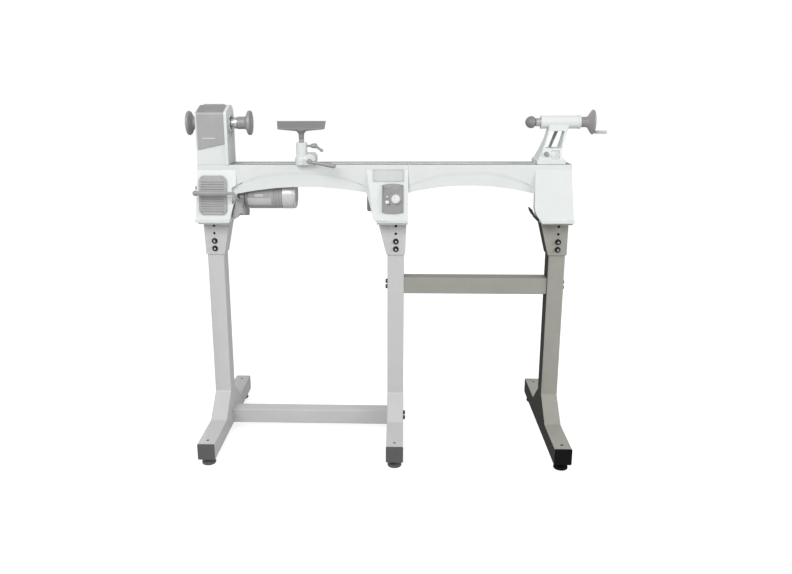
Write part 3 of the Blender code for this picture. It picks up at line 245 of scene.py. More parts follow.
# painted shadow: dark strips that stand in for the shade inside slots and louvre openings
SLOT_PAINTED_SHADOW = finish("slot_shadow", grey(0.2), 0.7, mottle=0.12, grain=0.2, specular=0.2)
BADGE_RIM = finish("badge_rim", (0.46, 0.475, 0.47), 0.38, metallic=0.1, mottle=0.04, grain=0.1)
LAMP = finish("lamp_lens", (0.62, 0.66, 0.6), 0.12, mottle=0.03, grain=0.0, coat=0.6)
SPINNER = finish("spinner_plastic", grey(0.5), 0.4, mottle=0.05, grain=0.3, grain_scale=1500.0)


# ---------------------------------------------------------------- mesh helpers


def piece(name, bm, look, body, slot=None, angle=35.0, bevel=0.0, segments=3, replaces=()):
    """A mesh object from a bmesh, in the row frame, riding on a body if one is named."""
    mesh = bpy.data.meshes.new(name)
    bm.normal_update()
    bm.to_mesh(mesh)
    bm.free()
    for each in look if isinstance(look, (list, tuple)) else [look]:
        mesh.materials.append(each)
    mesh.shade_smooth()
    mesh.set_sharp_from_angle(angle=math.radians(angle))
    obj = bpy.data.objects.new(name, mesh)
    bpy.context.scene.collection.objects.link(obj)
    if bevel:
        round_edges(obj, bevel, segments)
    if body:
        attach(obj, body)
    if replaces:
        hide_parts(*replaces)
    return obj


def detail(node, bm, look, **options):
    """A piece in place of one CAD node, riding on that node's body."""
    return piece(node + "_detail", bm, look, BODY_OF[node], SLOT_OF[node], replaces=(node,), **options)


def round_edges(obj, width, segments=3, method="ANGLE"):
    bevel = obj.modifiers.new("Bevel", "BEVEL")
    bevel.width = width
    bevel.segments = segments
    bevel.limit_method = method
    bevel.angle_limit = math.radians(32)
    bevel.use_clamp_overlap = True
    bevel.harden_normals = True
    return bevel


def refine(node, look, width, min_length, segments=3, face_look=None, angle=30.0, only=None, sharp=35.0,
           adjust=None):
    """A CAD node with its long sharp edges rounded, in place of the plain one.

    face_look gives a face's material index from its normal and centre, only says which edges, by their two
    ends, may be rounded, sharp is the angle in degrees above which the shading breaks, and adjust changes the
    bmesh first.
    """
    bm = bmesh.new()
    bm.from_mesh(NODES[node].data)
    bmesh.ops.remove_doubles(bm, verts=bm.verts, dist=2e-6)
    bmesh.ops.dissolve_limit(bm, angle_limit=math.radians(0.6), verts=bm.verts, edges=bm.edges)
    bm.normal_update()
    if adjust:
        adjust(bm)
        bm.normal_update()
    weight = bm.edges.layers.float.new("bevel_weight_edge")
    for edge in bm.edges:
        if len(edge.link_faces) != 2 or edge.calc_length() < min_length:
            continue
        if only and not only(*[v.co for v in edge.verts]):
            continue
        if edge.calc_face_angle(0) > math.radians(angle):
            edge[weight] = 1.0
    for face in bm.faces:
        face.material_index = face_look(face.normal, face.calc_center_median()) if face_look else 0
    obj = piece(node + "_skin", bm, look, BODY_OF[node], SLOT_OF[node], angle=sharp, replaces=(node,))
    round_edges(obj, width, segments, "WEIGHT").use_clamp_overlap = only is None
    return obj


def carve(obj, *cutters):
    """Cuts closed shapes, each a bmesh, out of a piece's mesh."""
    for bm in cutters:
        mesh = bpy.data.meshes.new("cutter")
        bm.to_mesh(mesh)
        bm.free()
        tool = bpy.data.objects.new("cutter", mesh)
        bpy.context.scene.collection.objects.link(tool)
        cut = obj.modifiers.new("Cut", "BOOLEAN")
        cut.operation = "DIFFERENCE"
        cut.object = tool
        bpy.context.view_layer.update()
        graph = bpy.context.evaluated_depsgraph_get()
        carved = bpy.data.meshes.new_from_object(obj.evaluated_get(graph))
        obj.modifiers.clear()
        obj.data = carved
        bpy.data.objects.remove(tool)


def melt(obj, voxel, smooth):
    """Runs a piece's edges and joints into each other, as a casting's do."""
    remesh = obj.modifiers.new("Remesh", "REMESH")
    remesh.mode = "VOXEL"
    remesh.voxel_size = voxel
    remesh.use_smooth_shade = True
    relax = obj.modifiers.new("Smooth", "SMOOTH")
    relax.factor = 0.5
    relax.iterations = smooth


def cast(node, look, voxel, smooth, extra=None, pockets=()):
    """A CAD node's shape as a casting: every edge and corner runs into the next with a small radius.

    extra adds closed shapes to the node's bmesh, and pockets are cut out of it.
    """
    bm = bmesh.new()
    bm.from_mesh(NODES[node].data)
    bmesh.ops.remove_doubles(bm, verts=bm.verts, dist=2e-6)
    obj = piece(node + "_casting", bm, look, BODY_OF[node], SLOT_OF[node], angle=180.0, replaces=(node,))
    carve(obj, *pockets)
    if extra:
        bm = bmesh.new()
        bm.from_mesh(obj.data)
        extra(bm)
        bm.to_mesh(obj.data)
        bm.free()
        obj.data.shade_smooth()
    melt(obj, voxel, smooth)


def turned(profile, start, direction, steps=56, bm=None, ring=False):
    """A profile of (distance along the axis, radius) turned round it; a ring's profile is a closed loop."""
    bm = bm or bmesh.new()
    turn = Vector(direction).to_track_quat("Z", "Y").to_matrix()
    start = Vector(start)
    rows = []
    for along, radius in profile:
        if radius < 1e-7:
            rows.append([bm.verts.new(start + turn @ Vector((0, 0, along)))])
            continue
        row = []
        for i in range(steps):
            a = 2 * math.pi * i / steps
            row.append(bm.verts.new(start + turn @ Vector((radius * math.cos(a), radius * math.sin(a),
                                                           along))))
        rows.append(row)
    pairs = list(zip(rows, rows[1:]))
    if ring:
        pairs.append((rows[-1], rows[0]))
    for a, b in pairs:
        for i in range(steps):
            j = (i + 1) % steps
            if len(a) == 1 and len(b) == 1:
                break
            if len(a) == 1:
                bm.faces.new((a[0], b[j], b[i]))
            elif len(b) == 1:
                bm.faces.new((a[i], a[j], b[0]))
            else:
                bm.faces.new((a[i], a[j], b[j], b[i]))
    bmesh.ops.recalc_face_normals(bm, faces=bm.faces)
    return bm


def mm(*points):
    """Points given in millimetres."""
    return [(a / 1000, b / 1000) for a, b in points]


def rounded(profile, radius, steps=3):
    """A profile with its corners rounded, apart from those on the axis."""
    out = [profile[0]]
    for i in range(1, len(profile) - 1):
        before, here, after = (Vector(profile[k]) for k in (i - 1, i, i + 1))
        if here.y < 1e-7:
            out.append(tuple(here))
            continue
        into, away = (before - here), (after - here)
        r = min(radius, into.length * 0.45, away.length * 0.45)
        if r < 1e-6 or into.angle(away) > math.radians(168):
            out.append(tuple(here))
            continue
        a, b = here + into.normalized() * r, here + away.normalized() * r
        for k in range(steps + 1):
            t = k / steps
            out.append(tuple(a * (1 - t) ** 2 + here * 2 * t * (1 - t) + b * t ** 2))
    out.append(profile[-1])
    return out


def rod(length, radius, start, direction, steps, bm=None):
    return turned([(0, 0), (0, radius), (length, radius), (length, 0)], start, direction, steps, bm)


def loft(bm, rows, loop=False):
    """Faces between rows of points. A loop's last row meets its first; otherwise both ends are closed."""
    for a, b in zip(rows, rows[1:] + (rows[:1] if loop else [])):
        for i in range(len(a)):
            j = (i + 1) % len(a)
            bm.faces.new((a[i], a[j], b[j], b[i]))
    if not loop:
        bm.faces.new(rows[0])
        bm.faces.new(rows[-1][::-1])
    bmesh.ops.recalc_face_normals(bm, faces=bm.faces)
    return bm


def prism(outline, frame_matrix, low, high, bm=None):
    """A flat outline in a frame's XY plane, extruded along its Z."""
    bm = bm or bmesh.new()
    bottom = [bm.verts.new(frame_matrix @ Vector((u, v, low))) for u, v in outline]
    top = [bm.verts.new(frame_matrix @ Vector((u, v, high))) for u, v in outline]
    bm.faces.new(bottom[::-1])
    bm.faces.new(top)
    n = len(outline)
    for i in range(n):
        j = (i + 1) % n
        bm.faces.new((bottom[i], bottom[j], top[j], top[i]))
    bmesh.ops.recalc_face_normals(bm, faces=bm.faces)
    return bm


def block(x, y, z, bm=None, frame_matrix=None):
    bm = bm or bmesh.new()
    size = Vector([b - a for a, b in (x, y, z)])
    centre = Vector([(a + b) / 2 for a, b in (x, y, z)])
    matrix = Matrix.LocRotScale(centre, None, size)
    bmesh.ops.create_cube(bm, matrix=frame_matrix @ matrix if frame_matrix else matrix)
    return bm


def rounded_outline(half_u, half_v, radius, steps=5):
    out = []
    for cu, cv, first in ((1, 1, 0), (-1, 1, 90), (-1, -1, 180), (1, -1, 270)):
        for i in range(steps + 1):
            a = math.radians(first + 90 * i / steps)
            out.append((cu * (half_u - radius) + radius * math.cos(a),
                        cv * (half_v - radius) + radius * math.sin(a)))
    return out


def tube(name, points, radius, look, body):
    """A round bar along a smooth line of points."""
    curve = bpy.data.curves.new(name, "CURVE")
    curve.dimensions = "3D"
    curve.bevel_depth = radius
    curve.bevel_resolution = 6
    curve.use_fill_caps = True
    curve.resolution_u = 8
    spline = curve.splines.new("BEZIER")
    spline.bezier_points.add(len(points) - 1)
    for point, place in zip(spline.bezier_points, points):
        point.co = place
        point.handle_left_type = point.handle_right_type = "AUTO"
    curve.materials.append(look)
    obj = bpy.data.objects.new(name, curve)
    bpy.context.scene.collection.objects.link(obj)
    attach(obj, body)


def aim(at, direction, about=0.0):
    """A frame at a point whose Z points along a direction."""
    turn = Vector(direction).to_track_quat("Z", "Y").to_matrix().to_4x4()
    return Matrix.Translation(Vector(at)) @ turn @ Matrix.Rotation(about, 4, "Z")


def hexagon(radius):
    return [(radius * math.cos(math.radians(60 * i + 30)), radius * math.sin(math.radians(60 * i + 30)))
            for i in range(6)]


def hex_bolt(bm, at, direction, across, height, washer=None, about=0.0):
    """A hexagon head with a rounded crown, on a washer or flange, standing on a surface at a point."""
    here = aim(at, direction, about)
    base = 0.0
    if washer:
        turned([(0, 0), (0, washer), (0.0012, washer), (0.0018, washer * 0.94), (0.0018, 0)], at, direction,
               32, bm)
        base = 0.0017
    prism(hexagon(across / 2 / math.cos(math.radians(30))), here, base, base + height * 0.86, bm)
    r = across / 2
    turned([(base + height * 0.8, 0), (base + height * 0.8, r), (base + height * 0.92, r * 0.96),
            (base + height, r * 0.8), (base + height, 0)], at, direction, 32, bm)


def socket_screw(bm, at, direction, radius, height):
    """A button head screw with a round-cornered socket."""
    r = radius
    profile = [(0, 0), (0, r), (height * 0.35, r * 0.98), (height * 0.8, r * 0.8), (height, r * 0.55),
               (height, r * 0.42), (height * 0.35, r * 0.4), (height * 0.3, 0)]
    turned(profile, at, direction, 24, bm)


# Shapes of the frame that pieces are placed by
FLARE_SLOPE = 0.027 / 0.154
FLARE_TOP_Z = 0.905
SPINDLE_Z = 1.049
LEGS = {"left": -0.587, "middle": 0.003, "right": 0.522}


def foot_front(x, z):
    """A frame on a foot's sloping front: X to the right, Y up the slope, Z out of it."""
    y = -0.052 - (FLARE_TOP_Z - z) * FLARE_SLOPE
    turn = Matrix.Rotation(math.pi / 2 - math.atan(FLARE_SLOPE), 4, "X")
    return Matrix.Translation((x, y, z)) @ turn


SIDE_ON = Matrix(((0, 0, 1, 0), (1, 0, 0, 0), (0, 1, 0, 0), (0, 0, 0, 1)))  # an outline in Y and Z, along X
FACE_ON = Matrix(((1, 0, 0, 0), (0, 0, 1, 0), (0, 1, 0, 0), (0, 0, 0, 1)))  # an outline in X and Z, along Y


def recolour(bm, first):
    """Gives every face from the first on the second material."""
    bm.faces.ensure_lookup_table()
    for face in bm.faces[first:]:
        face.material_index = 1


# ---------------------------------------------------------------- stand

BRACKET_FACE_Y = -0.0346
BRACKET_BOLT_Z = (0.674, 0.649)
BRACKET_PLATE_Z = 0.7367
PLATE_BOLT_X = {"left": (-0.027, 0.046), "middle": (-0.048, 0.026), "right": (-0.05, 0.022)}
LEG_HALF_X = 0.027
LEG_HALF_Y = 0.03
FOOT_END_Y = 0.2937
FOOT_LOW_Z, FOOT_TOP_Z = 0.025, 0.0775
LEVEL_Y = 0.262
LOWER_BAR_Z, UPPER_BAR_Z = 0.05425, 0.525
CROSS_BOLT_APART = 0.009
WING_X = 0.456
SPARE_HOLE_Z, SPARE_HOLE_R = 0.699, 0.0044


def leg(side, x):
    # On the right leg the faces turned to -X take the near-black painted shade.
    painted_shade_inside = (lambda normal, centre: int(normal.x < -0.7)) if side == "right" else None
    looks = [STAND_GREY, STAND_SIDE_PAINTED_SHADE] if side == "right" else [STAND_LIGHT]

    def long_edge(a, b):
        outer = all(abs(abs(v.x - x) - LEG_HALF_X) < 2e-4 for v in (a, b))
        rim = min(a.z, b.z) > 0.714 or min(abs(a.y), abs(b.y)) > 0.288
        return outer and not rim

    skin = refine(f"leg_{side}", looks, 0.0032, 0.02, 4, face_look=painted_shade_inside, only=long_edge)
    carve(skin, rod(0.02, SPARE_HOLE_R, (x, -LEG_HALF_Y - 0.004, SPARE_HOLE_Z), Y, 24))
    # The right bracket's wing takes the painted shade as well.
    if side == "right":
        painted_shade_inside = (lambda normal, centre: int(normal.x < -0.7 or centre.x < WING_X))
    refine(f"bracket_{side}", looks, 0.001, 0.01, 2, face_look=painted_shade_inside)


def bracket_bolts(side, x):
    """The two flanged bolts in front, with their nut plate, and the four bolts up into the bed's foot."""
    bm = block((x - 0.012, x + 0.012), (-0.0272, -0.0212), (0.637, 0.686))
    for z in BRACKET_BOLT_Z:
        rod(0.012, 0.004, (x, BRACKET_FACE_Y, z), Y, 24, bm)
        hex_bolt(bm, (x, BRACKET_FACE_Y, z), -Y, 0.0125, 0.0058, 0.0095, about=0.3)
    # A small bright steel dome set off-centre, low and to the right, on each front head's crown: a painted
    # highlight.
    first = len(bm.faces)
    for z in BRACKET_BOLT_Z:
        turned(rounded(mm((7, 0), (7, 3.4), (8, 3), (8.2, 0)), 0.0004),
               (x + 0.0006, BRACKET_FACE_Y, z - 0.0006), -Y, 24, bm)
    recolour(bm, first)
    detail(f"bracket_bolts_{side}", bm, [BLACK, STEEL], bevel=0.0004, segments=2)
    bm = bmesh.new()
    for dx in PLATE_BOLT_X[side]:
        for y in (-0.02, 0.02):
            hex_bolt(bm, (x + dx, y, BRACKET_PLATE_Z), -Z, 0.013, 0.0055, 0.0085, about=dx * 40)
    piece(f"bed_bolts_{side}", bm, BLACK, "base", "black_steel", bevel=0.0004, segments=2)


def foot_cap(side, end, x):
    """A moulded plug: a face with a raised border and a part inside the tube."""
    out = -1 if end == "front" else 1
    middle = Vector((x, 0, (FOOT_LOW_Z + FOOT_TOP_Z) / 2))
    half_z = (FOOT_TOP_Z - FOOT_LOW_Z) / 2
    bm = bmesh.new()
    here = Matrix.Translation(middle) @ FACE_ON
    layers = [(LEG_HALF_X, half_z, 0.0035, FOOT_END_Y - 0.004, FOOT_END_Y - 0.0005),
              (LEG_HALF_X - 0.0035, half_z - 0.0035, 0.003, FOOT_END_Y - 0.001, FOOT_END_Y),
              (LEG_HALF_X - 0.0029, half_z - 0.0029, 0.0015, FOOT_END_Y - 0.018, FOOT_END_Y - 0.003)]
    for half_x, half, radius, low, high in layers:
        low, high = sorted((out * low, out * high))
        prism(rounded_outline(half_x, half, radius), here, low, high, bm)
    detail(f"foot_cap_{side}_{end}", bm, CAP_BLACK if side == "right" else CAP, bevel=0.0007)


def levelling_foot(side, end, x):
    """A moulded pad, a lock nut and a threaded stud."""
    at = Vector((x, -LEVEL_Y if end == "front" else LEVEL_Y, 0))
    body = f"level_{side}_{end}"
    node = f"levelling_foot_{side}_{end}"
    pad = rounded(mm((0, 0), (0, 20.5), (2, 22), (8, 22), (11, 12.5), (12.5, 10.5), (12.5, 0)), 0.0012)
    piece(f"level_pad_{side}_{end}", turned(pad, at, Z, 48), CAP_BLACK if side == "right" else CAP, body,
          "rubber", angle=50)
    bm = prism(hexagon(0.0098), Matrix.Translation(at), 0.0132, 0.0208)
    thread = mm((12, 0), (12, 4.6))
    for turn in range(32):
        start = 0.0125 + turn * 0.0015
        thread += [(start + 0.0004, 0.005), (start + 0.0009, 0.005), (start + 0.0013, 0.0044)]
    turned(thread + mm((60.5, 4), (60.5, 0)), at, Z, 20, bm)
    piece(f"level_stud_{side}_{end}", bm, BLACK, body, "black_steel", bevel=0.0004, segments=2,
          replaces=(node,))


def cross_bolts(node, side, toward, bar_z, across):
    """Two bolts through a leg into a crossbar's nut plate."""
    low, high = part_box(node)
    head_x = LEGS[side] - toward * (LEG_HALF_X + 0.0003)
    plate = sorted((LEGS[side] + toward * 0.0273, LEGS[side] + toward * 0.0333))
    bm = block(plate, (low.y, high.y), (low.z, high.z))
    for dz in (-CROSS_BOLT_APART, CROSS_BOLT_APART):
        at = Vector((head_x, 0, bar_z + dz))
        rod(0.0605, 0.004, at, toward * X, 24, bm)
        hex_bolt(bm, at, -toward * X, across, 0.0052, 0.0082, about=0.4)
    detail(node, bm, BLACK, bevel=0.0004, segments=2)


def crossbars():
    def long_edge(a, b):
        return abs(a.x - b.x) > 0.3 and all(abs(v.y) > 0.0248 for v in (a, b))

    refine("crossbar_lower", [STAND_LIGHT], 0.003, 0.05, 4, only=long_edge)
    # The upper bar's top faces take the darker copy of its paint: painted shade.
    refine("crossbar_upper", [STAND_GREY, STAND_TOP_PAINTED_SHADE], 0.003, 0.05, 4, only=long_edge,
           face_look=lambda normal, centre: int(normal.z > 0.7))
    cross_bolts("crossbar_bolts_lower_left", "left", 1, LOWER_BAR_Z, 0.0125)
    cross_bolts("crossbar_bolts_lower_middle", "middle", -1, LOWER_BAR_Z, 0.0125)
    cross_bolts("crossbar_bolts_upper_middle", "middle", 1, UPPER_BAR_Z, 0.0125)
    cross_bolts("crossbar_bolts_upper_right", "right", -1, UPPER_BAR_Z, 0.0125)


def stand():
    for side, x in LEGS.items():
        leg(side, x)
        bracket_bolts(side, x)
        for end in ("front", "rear"):
            foot_cap(side, end, x)
            levelling_foot(side, end, x)
    crossbars()


# ---------------------------------------------------------------- bed

BED_TOP_Z = 0.922
COVER_X, COVER_Z = -0.5765, 0.8275
FASCIA_X, FASCIA_Z = -0.0075, 0.817
KNOB_X, KNOB_Z = 0.0025, 0.815
SWITCH_X, SWITCH_Z = -0.024, 0.806
REAR_BOX_Y = 0.118
LOUVRES, LOUVRE_PITCH = 13, 0.0077
BED_HALF_Y = 0.052
WEB_HALF_Y = 0.047
WEB_SKIN_HALF_Y = 0.0502
WEB_SLOPE = 0.011
WEB_END_Z = 0.852


def top_face(normal, centre):
    return int(normal.z > 0.9 and centre.z > BED_TOP_Z - 0.0002)


def soften_recess(bm):
    """Makes the step above each web a low slope, as the sand mould leaves it."""
    steps = [face for face in bm.faces
             if abs(face.normal.y) < 0.5 and WEB_HALF_Y < abs(face.calc_center_median().y) < BED_HALF_Y]
    top = {vert for face in steps for vert in face.verts
           if abs(abs(vert.co.y) - WEB_HALF_Y) < 1e-4 and face.normal.z < -0.5}
    for vert in bm.verts:
        if abs(abs(vert.co.y) - WEB_HALF_Y) < 1e-4:
            vert.co.y = math.copysign(WEB_SKIN_HALF_Y, vert.co.y)
    for vert in top:
        vert.co.z -= WEB_SLOPE * min(max((vert.co.z - WEB_END_Z) / 0.03, 0.0), 1.0)


def bed():
    for node in ("bed_casting", "bed_extension"):
        refine(node, [CASTING, WAYS], 0.0016, 0.012, 3, face_look=top_face, angle=6.0, sharp=5.0,
               adjust=soften_recess)
    badge()
    access_cover()
    control_panel()
    speed_knob()
    power_switch()
    rear_box()
    stub()


def badge():
    """A blank plate with a raised border, held by four pins."""
    here = foot_front(-0.0205, 0.8885)
    bm = prism(rounded_outline(0.049, 0.02, 0.0025), here, -0.0005, 0.0014)
    first = len(bm.faces)
    outer, inner = rounded_outline(0.0478, 0.0188, 0.002), rounded_outline(0.0455, 0.0165, 0.0015)
    rim(bm, here, outer, inner, 0.0012, 0.0024)
    for u in (-0.043, 0.043):
        for v in (-0.014, 0.014):
            turned(rounded(mm((0, 0), (0, 1.6), (1, 1.4), (1.4, 0)), 0.0004), here @ Vector((u, v, 0.0013)),
                   here.to_3x3() @ Z, 16, bm)
    recolour(bm, first)
    piece("blank_badge_plate", bm, [PLATE, BADGE_RIM], "base", "casting_paint", bevel=0.0003, segments=2)


def rim(bm, here, outer, inner, low, high):
    """A raised border between two outlines with the same number of points."""
    rings = []
    for outline, level in ((outer, low), (outer, high), (inner, high), (inner, low)):
        rings.append([bm.verts.new(here @ Vector((u, v, level))) for u, v in outline])
    loft(bm, rings, loop=True)


def louvre(bm, here, half_u, v):
    """A pressed louvre, whose ends run down into the sheet."""
    section = mm((-1.8, 0), (-1.8, 1.7), (-0.6, 2), (1, 1.4), (2.6, 0))
    stations = [(-half_u, 0.25), (-half_u + 0.003, 1.0), (half_u - 0.003, 1.0), (half_u, 0.25)]
    rows = []
    for u, rise in stations:
        rows.append([bm.verts.new(here @ Vector((u, v + dv, 0.0054 + w * rise))) for dv, w in section])
    loft(bm, rows)


def access_cover():
    """The louvred cover: a pressed sheet with slats over dark strips of painted shadow where its slots are,
    and its screws.
    """
    here = foot_front(COVER_X, COVER_Z)
    half_x, half_z, corner, shoulder = 0.0445, 0.0615, 0.01, 0.014
    outline = [(-half_x + corner, -half_z), (half_x - corner, -half_z), (half_x, -half_z + corner),
               (half_x, half_z - shoulder), (half_x - corner, half_z), (-half_x + corner, half_z),
               (-half_x, half_z - shoulder), (-half_x, -half_z + corner)]
    bm = prism(outline, here, 0.0005, 0.0057)
    back = here.inverted()
    edges = [e for e in bm.edges if abs((back @ e.verts[0].co).z - (back @ e.verts[1].co).z) > 0.003]
    bmesh.ops.bevel(bm, geom=edges, offset=0.005, segments=5, profile=0.5, affect="EDGES")
    for i in range(LOUVRES):
        v = half_z - 0.0185 - i * LOUVRE_PITCH
        louvre(bm, here, 0.0385, v)
    # Dark strips under the louvres: painted shadow for the openings.
    first = len(bm.faces)
    for i in range(LOUVRES):
        v = half_z - 0.0185 - i * LOUVRE_PITCH - 0.0026
        block((-0.0365, 0.0365), (v - 0.0005, v + 0.0005), (0.005, 0.00585), bm, here)
    recolour(bm, first)
    piece("access_cover_detail", bm, [COVER, SLOT_PAINTED_SHADOW], "base", "cover_paint", bevel=0.0011, segments=3,
          replaces=("lower_access_cover",))
    bm = bmesh.new()
    for u, v in ((-0.033, -0.0555), (0.033, -0.0555), (-0.03, 0.054), (0.03, 0.054)):
        socket_screw(bm, here @ Vector((u, v, 0.0055)), here.to_3x3() @ Z, 0.0026, 0.0012)
    piece("access_cover_screws", bm, COVER, "base", "black_steel")


def control_panel():
    """The housing, and on its fascia the dial, the screws and a lamp."""
    refine("control_housing", [PANEL], 0.0009, 0.006, 3)
    up = foot_front(0, FASCIA_Z).to_3x3() @ Z
    knob, switch, panel = (foot_front(x, z) for x, z in
                           ((KNOB_X, KNOB_Z), (SWITCH_X, SWITCH_Z), (FASCIA_X, FASCIA_Z)))
    bm = bmesh.new()
    for i in range(11):
        angle = math.radians(225 - 27 * i)
        tick = knob @ Matrix.Rotation(angle, 4, "Z")
        longer = 0.001 if i % 5 == 0 else 0.0
        block((0.0165, 0.0188 + longer), (-0.00045, 0.00045), (0.0045, 0.0053), bm, tick)
    arc_steps = 40
    rows = []
    for i in range(arc_steps + 1):
        a = math.radians(225 - 270 * i / arc_steps)
        rows.append([bm.verts.new(knob @ Vector((r * math.cos(a), r * math.sin(a), w)))
                     for r, w in ((0.0155, 0.0045), (0.0155, 0.0052), (0.0161, 0.0052), (0.0161, 0.0045))])
    loft(bm, rows)
    piece("speed_dial_marks", bm, KNOB, "base", "knob_plastic")
    bm = bmesh.new()
    for u in (-0.0285, 0.0285):
        for v in (-0.0385, 0.0385):
            socket_screw(bm, panel @ Vector((u, v, 0.0048)), up, 0.0024, 0.0013)
    piece("fascia_screws", bm, PANEL, "base", "black_steel")
    bm = turned(mm((0, 3.2), (0, 6.2), (0.9, 6.2), (0.9, 3.2)), switch @ Vector((0, 0, 0.0049)), up,
                32, ring=True)
    prism(hexagon(0.0056), switch @ Matrix.Translation((0, 0, 0.0056)), 0, 0.002, bm)
    piece("power_switch_nut", bm, STEEL, "base", "bright_steel", bevel=0.0003, segments=2)
    lamp = switch @ Vector((0, 0.0175, 0.0045))
    piece("power_lamp_bezel", turned(mm((0, 2.2), (0, 3.4), (1.4, 3.2), (1.4, 2.2)), lamp, up, 28,
                                     ring=True), STEEL, "base", "bright_steel")
    dome = mm((0, 0), (0, 2.2), (0.8, 2.1), (1.6, 1.5), (1.9, 0.8), (2, 0))
    piece("power_lamp", turned(dome, lamp, up, 24), LAMP, "base", "knob_plastic", angle=80)


def speed_knob():
    """A fluted knob with a skirt, a cap and a pointer line."""
    knob = foot_front(KNOB_X, KNOB_Z)
    up = knob.to_3x3() @ Z
    skirt = rounded(mm((-6, 0), (-6, 4), (5.6, 4), (5.6, 14), (7.8, 14), (8.4, 12.5), (8.4, 0)), 0.0005)
    bm = turned(skirt, knob.translation, up, 64)
    flutes = 12
    outline = []
    for i in range(flutes * 8):
        a = 2 * math.pi * i / (flutes * 8)
        radius = 0.0119 + 0.00055 * math.cos(flutes * a)
        outline.append((radius * math.cos(a), radius * math.sin(a)))
    prism(outline, knob, 0.008, 0.0198, bm)
    turned(rounded(mm((19, 0), (19, 9.8), (20.5, 9.6), (20.9, 0)), 0.0006), knob.translation, up, 48, bm)
    first = len(bm.faces)
    block((-0.0005, 0.0005), (0.0035, 0.0094), (0.02, 0.02125), bm, knob @ Matrix.Rotation(0.65, 4, "Z"))
    recolour(bm, first)
    detail("speed_knob", bm, [KNOB, BLACK], angle=40, bevel=0.0006)


def power_switch():
    spot = foot_front(SWITCH_X, SWITCH_Z)
    out = Matrix.Rotation(math.radians(12), 3, "X") @ (spot.to_3x3() @ Z)
    profile = rounded(mm((-4.5, 0), (-3.5, 3), (0, 4.3), (3.5, 3), (6, 2.1), (10.5, 2.4), (15, 3.1),
                         (17.8, 3), (19, 1.6), (19.3, 0)), 0.001)
    detail("power_switch", turned(profile, spot.translation, out, 32), STEEL, angle=60)


def rear_box():
    """Screws, cooling slots drawn as dark strips of painted shadow, and a cable gland on the electronics box
    behind the bed.
    """
    bm = bmesh.new()
    for x in (-0.087, 0.022):
        for z in (0.76, 0.842):
            socket_screw(bm, (x, REAR_BOX_Y - 0.0002, z), Y, 0.003, 0.0016)
    piece("rear_box_screws", bm, BLACK, "base", "black_steel")
    # The cooling slots are dark strips of painted shadow, not openings.
    bm = bmesh.new()
    for i in range(9):
        z = 0.782 + i * 0.0058
        block((-0.07, 0.005), (REAR_BOX_Y - 0.001, REAR_BOX_Y + 0.00035), (z - 0.0009, z + 0.0009), bm)
    piece("rear_box_painted_slot_shadows", bm, SLOT_PAINTED_SHADOW, "base", "black_steel", bevel=0.0003, segments=2)
    gland = (-0.0655, 0.103, 0.752)
    bm = prism(hexagon(0.0105), Matrix.Translation(gland) @ Matrix.Rotation(math.pi, 4, "X"), -0.001, 0.006)
    turned(rounded(mm((4, 0), (4, 8.8), (14, 7.8), (18, 5.5), (18, 3.2), (12, 0)), 0.001),
           gland, -Z, 40, bm)
    piece("cable_gland", bm, PANEL, "base", "panel_plastic", bevel=0.0004, segments=2)


def stub():
    """The end of the screw that holds the tension lever's stop, at the headstock end."""
    profile = rounded(mm((-4, 0), (-4, 4), (4, 4), (4, 5.8), (10, 5.8), (10.5, 0)),
                      0.0008)
    piece("lever_stop_screw", turned(profile, (-0.6245, -0.052, 0.849), -X, 32), DARK, "base", "dark_cast",
          angle=50)


# ---------------------------------------------------------------- headstock

HEAD_RIGHT_X = -0.524
PULLEY_X = -0.59875
STEP_WIDTH = 0.0165
SPINDLE_STEPS = (0.026, 0.033, 0.038)
MOTOR_STEPS = (0.029, 0.022, 0.017)
MOTOR_Y, MOTOR_Z = 0.016, 0.82
SPINDLE_R = 0.0127
BELT_X = -0.574


def stepped_pulley(radii, bore):
    """A pulley's profile with ribs for the belt on every step."""
    profile = [(0, bore)]
    for i, radius in enumerate(radii):
        start = i * STEP_WIDTH
        profile += [(start, radius + 0.0015), (start + 0.0014, radius + 0.0015), (start + 0.002, radius)]
        for k in range(5):
            at = start + 0.0034 + k * 0.0024
            profile += [(at, radius), (at + 0.0008, radius - 0.0009), (at + 0.0016, radius)]
        profile.append((start + STEP_WIDTH - 0.0005, radius))
    end = len(radii) * STEP_WIDTH
    return profile + [(end - 0.0004, radii[-1] + 0.0015), (end + 0.001, radii[-1] + 0.0015),
                      (end + 0.001, bore)]


def headstock():
    refine("headstock_casting", [CASTING], 0.0016, 0.01, 3)
    # The cover's upward-facing top takes the darker copy of its paint: painted shade.
    refine("headstock_cover", [COVER, COVER_TOP_PAINTED_SHADE], 0.0007, 0.004, 2,
           face_look=lambda normal, centre: int(normal.z > 0.8), sharp=24.0)
    at = Vector((HEAD_RIGHT_X, 0, SPINDLE_Z))
    cap = rounded(mm((-0.5, 20.5), (-0.5, 33), (2.2, 33), (3, 32), (3, 23.5), (1.8, 20.5)), 0.0006)
    piece("bearing_cap", turned(cap, at, X, 72, ring=True), CASTING, "base", "casting_paint", angle=40)
    bm = bmesh.new()
    for i in range(3):
        a = math.radians(30 + 120 * i)
        socket_screw(bm, at + Vector((0.0028, 0.0275 * math.cos(a), 0.0275 * math.sin(a))), X, 0.0026, 0.0016)
    piece("bearing_cap_screws", bm, BLACK, "base", "black_steel")
    hinge()
    ridge()
    for node, x, radius in (("bearing_rear", (-0.6235, -0.6125), 0.0235),
                            ("bearing_front", (-0.5362, -0.5245), 0.0275)):
        ball_bearing(node, x, radius)
    spindle_parts()
    drive_belt()


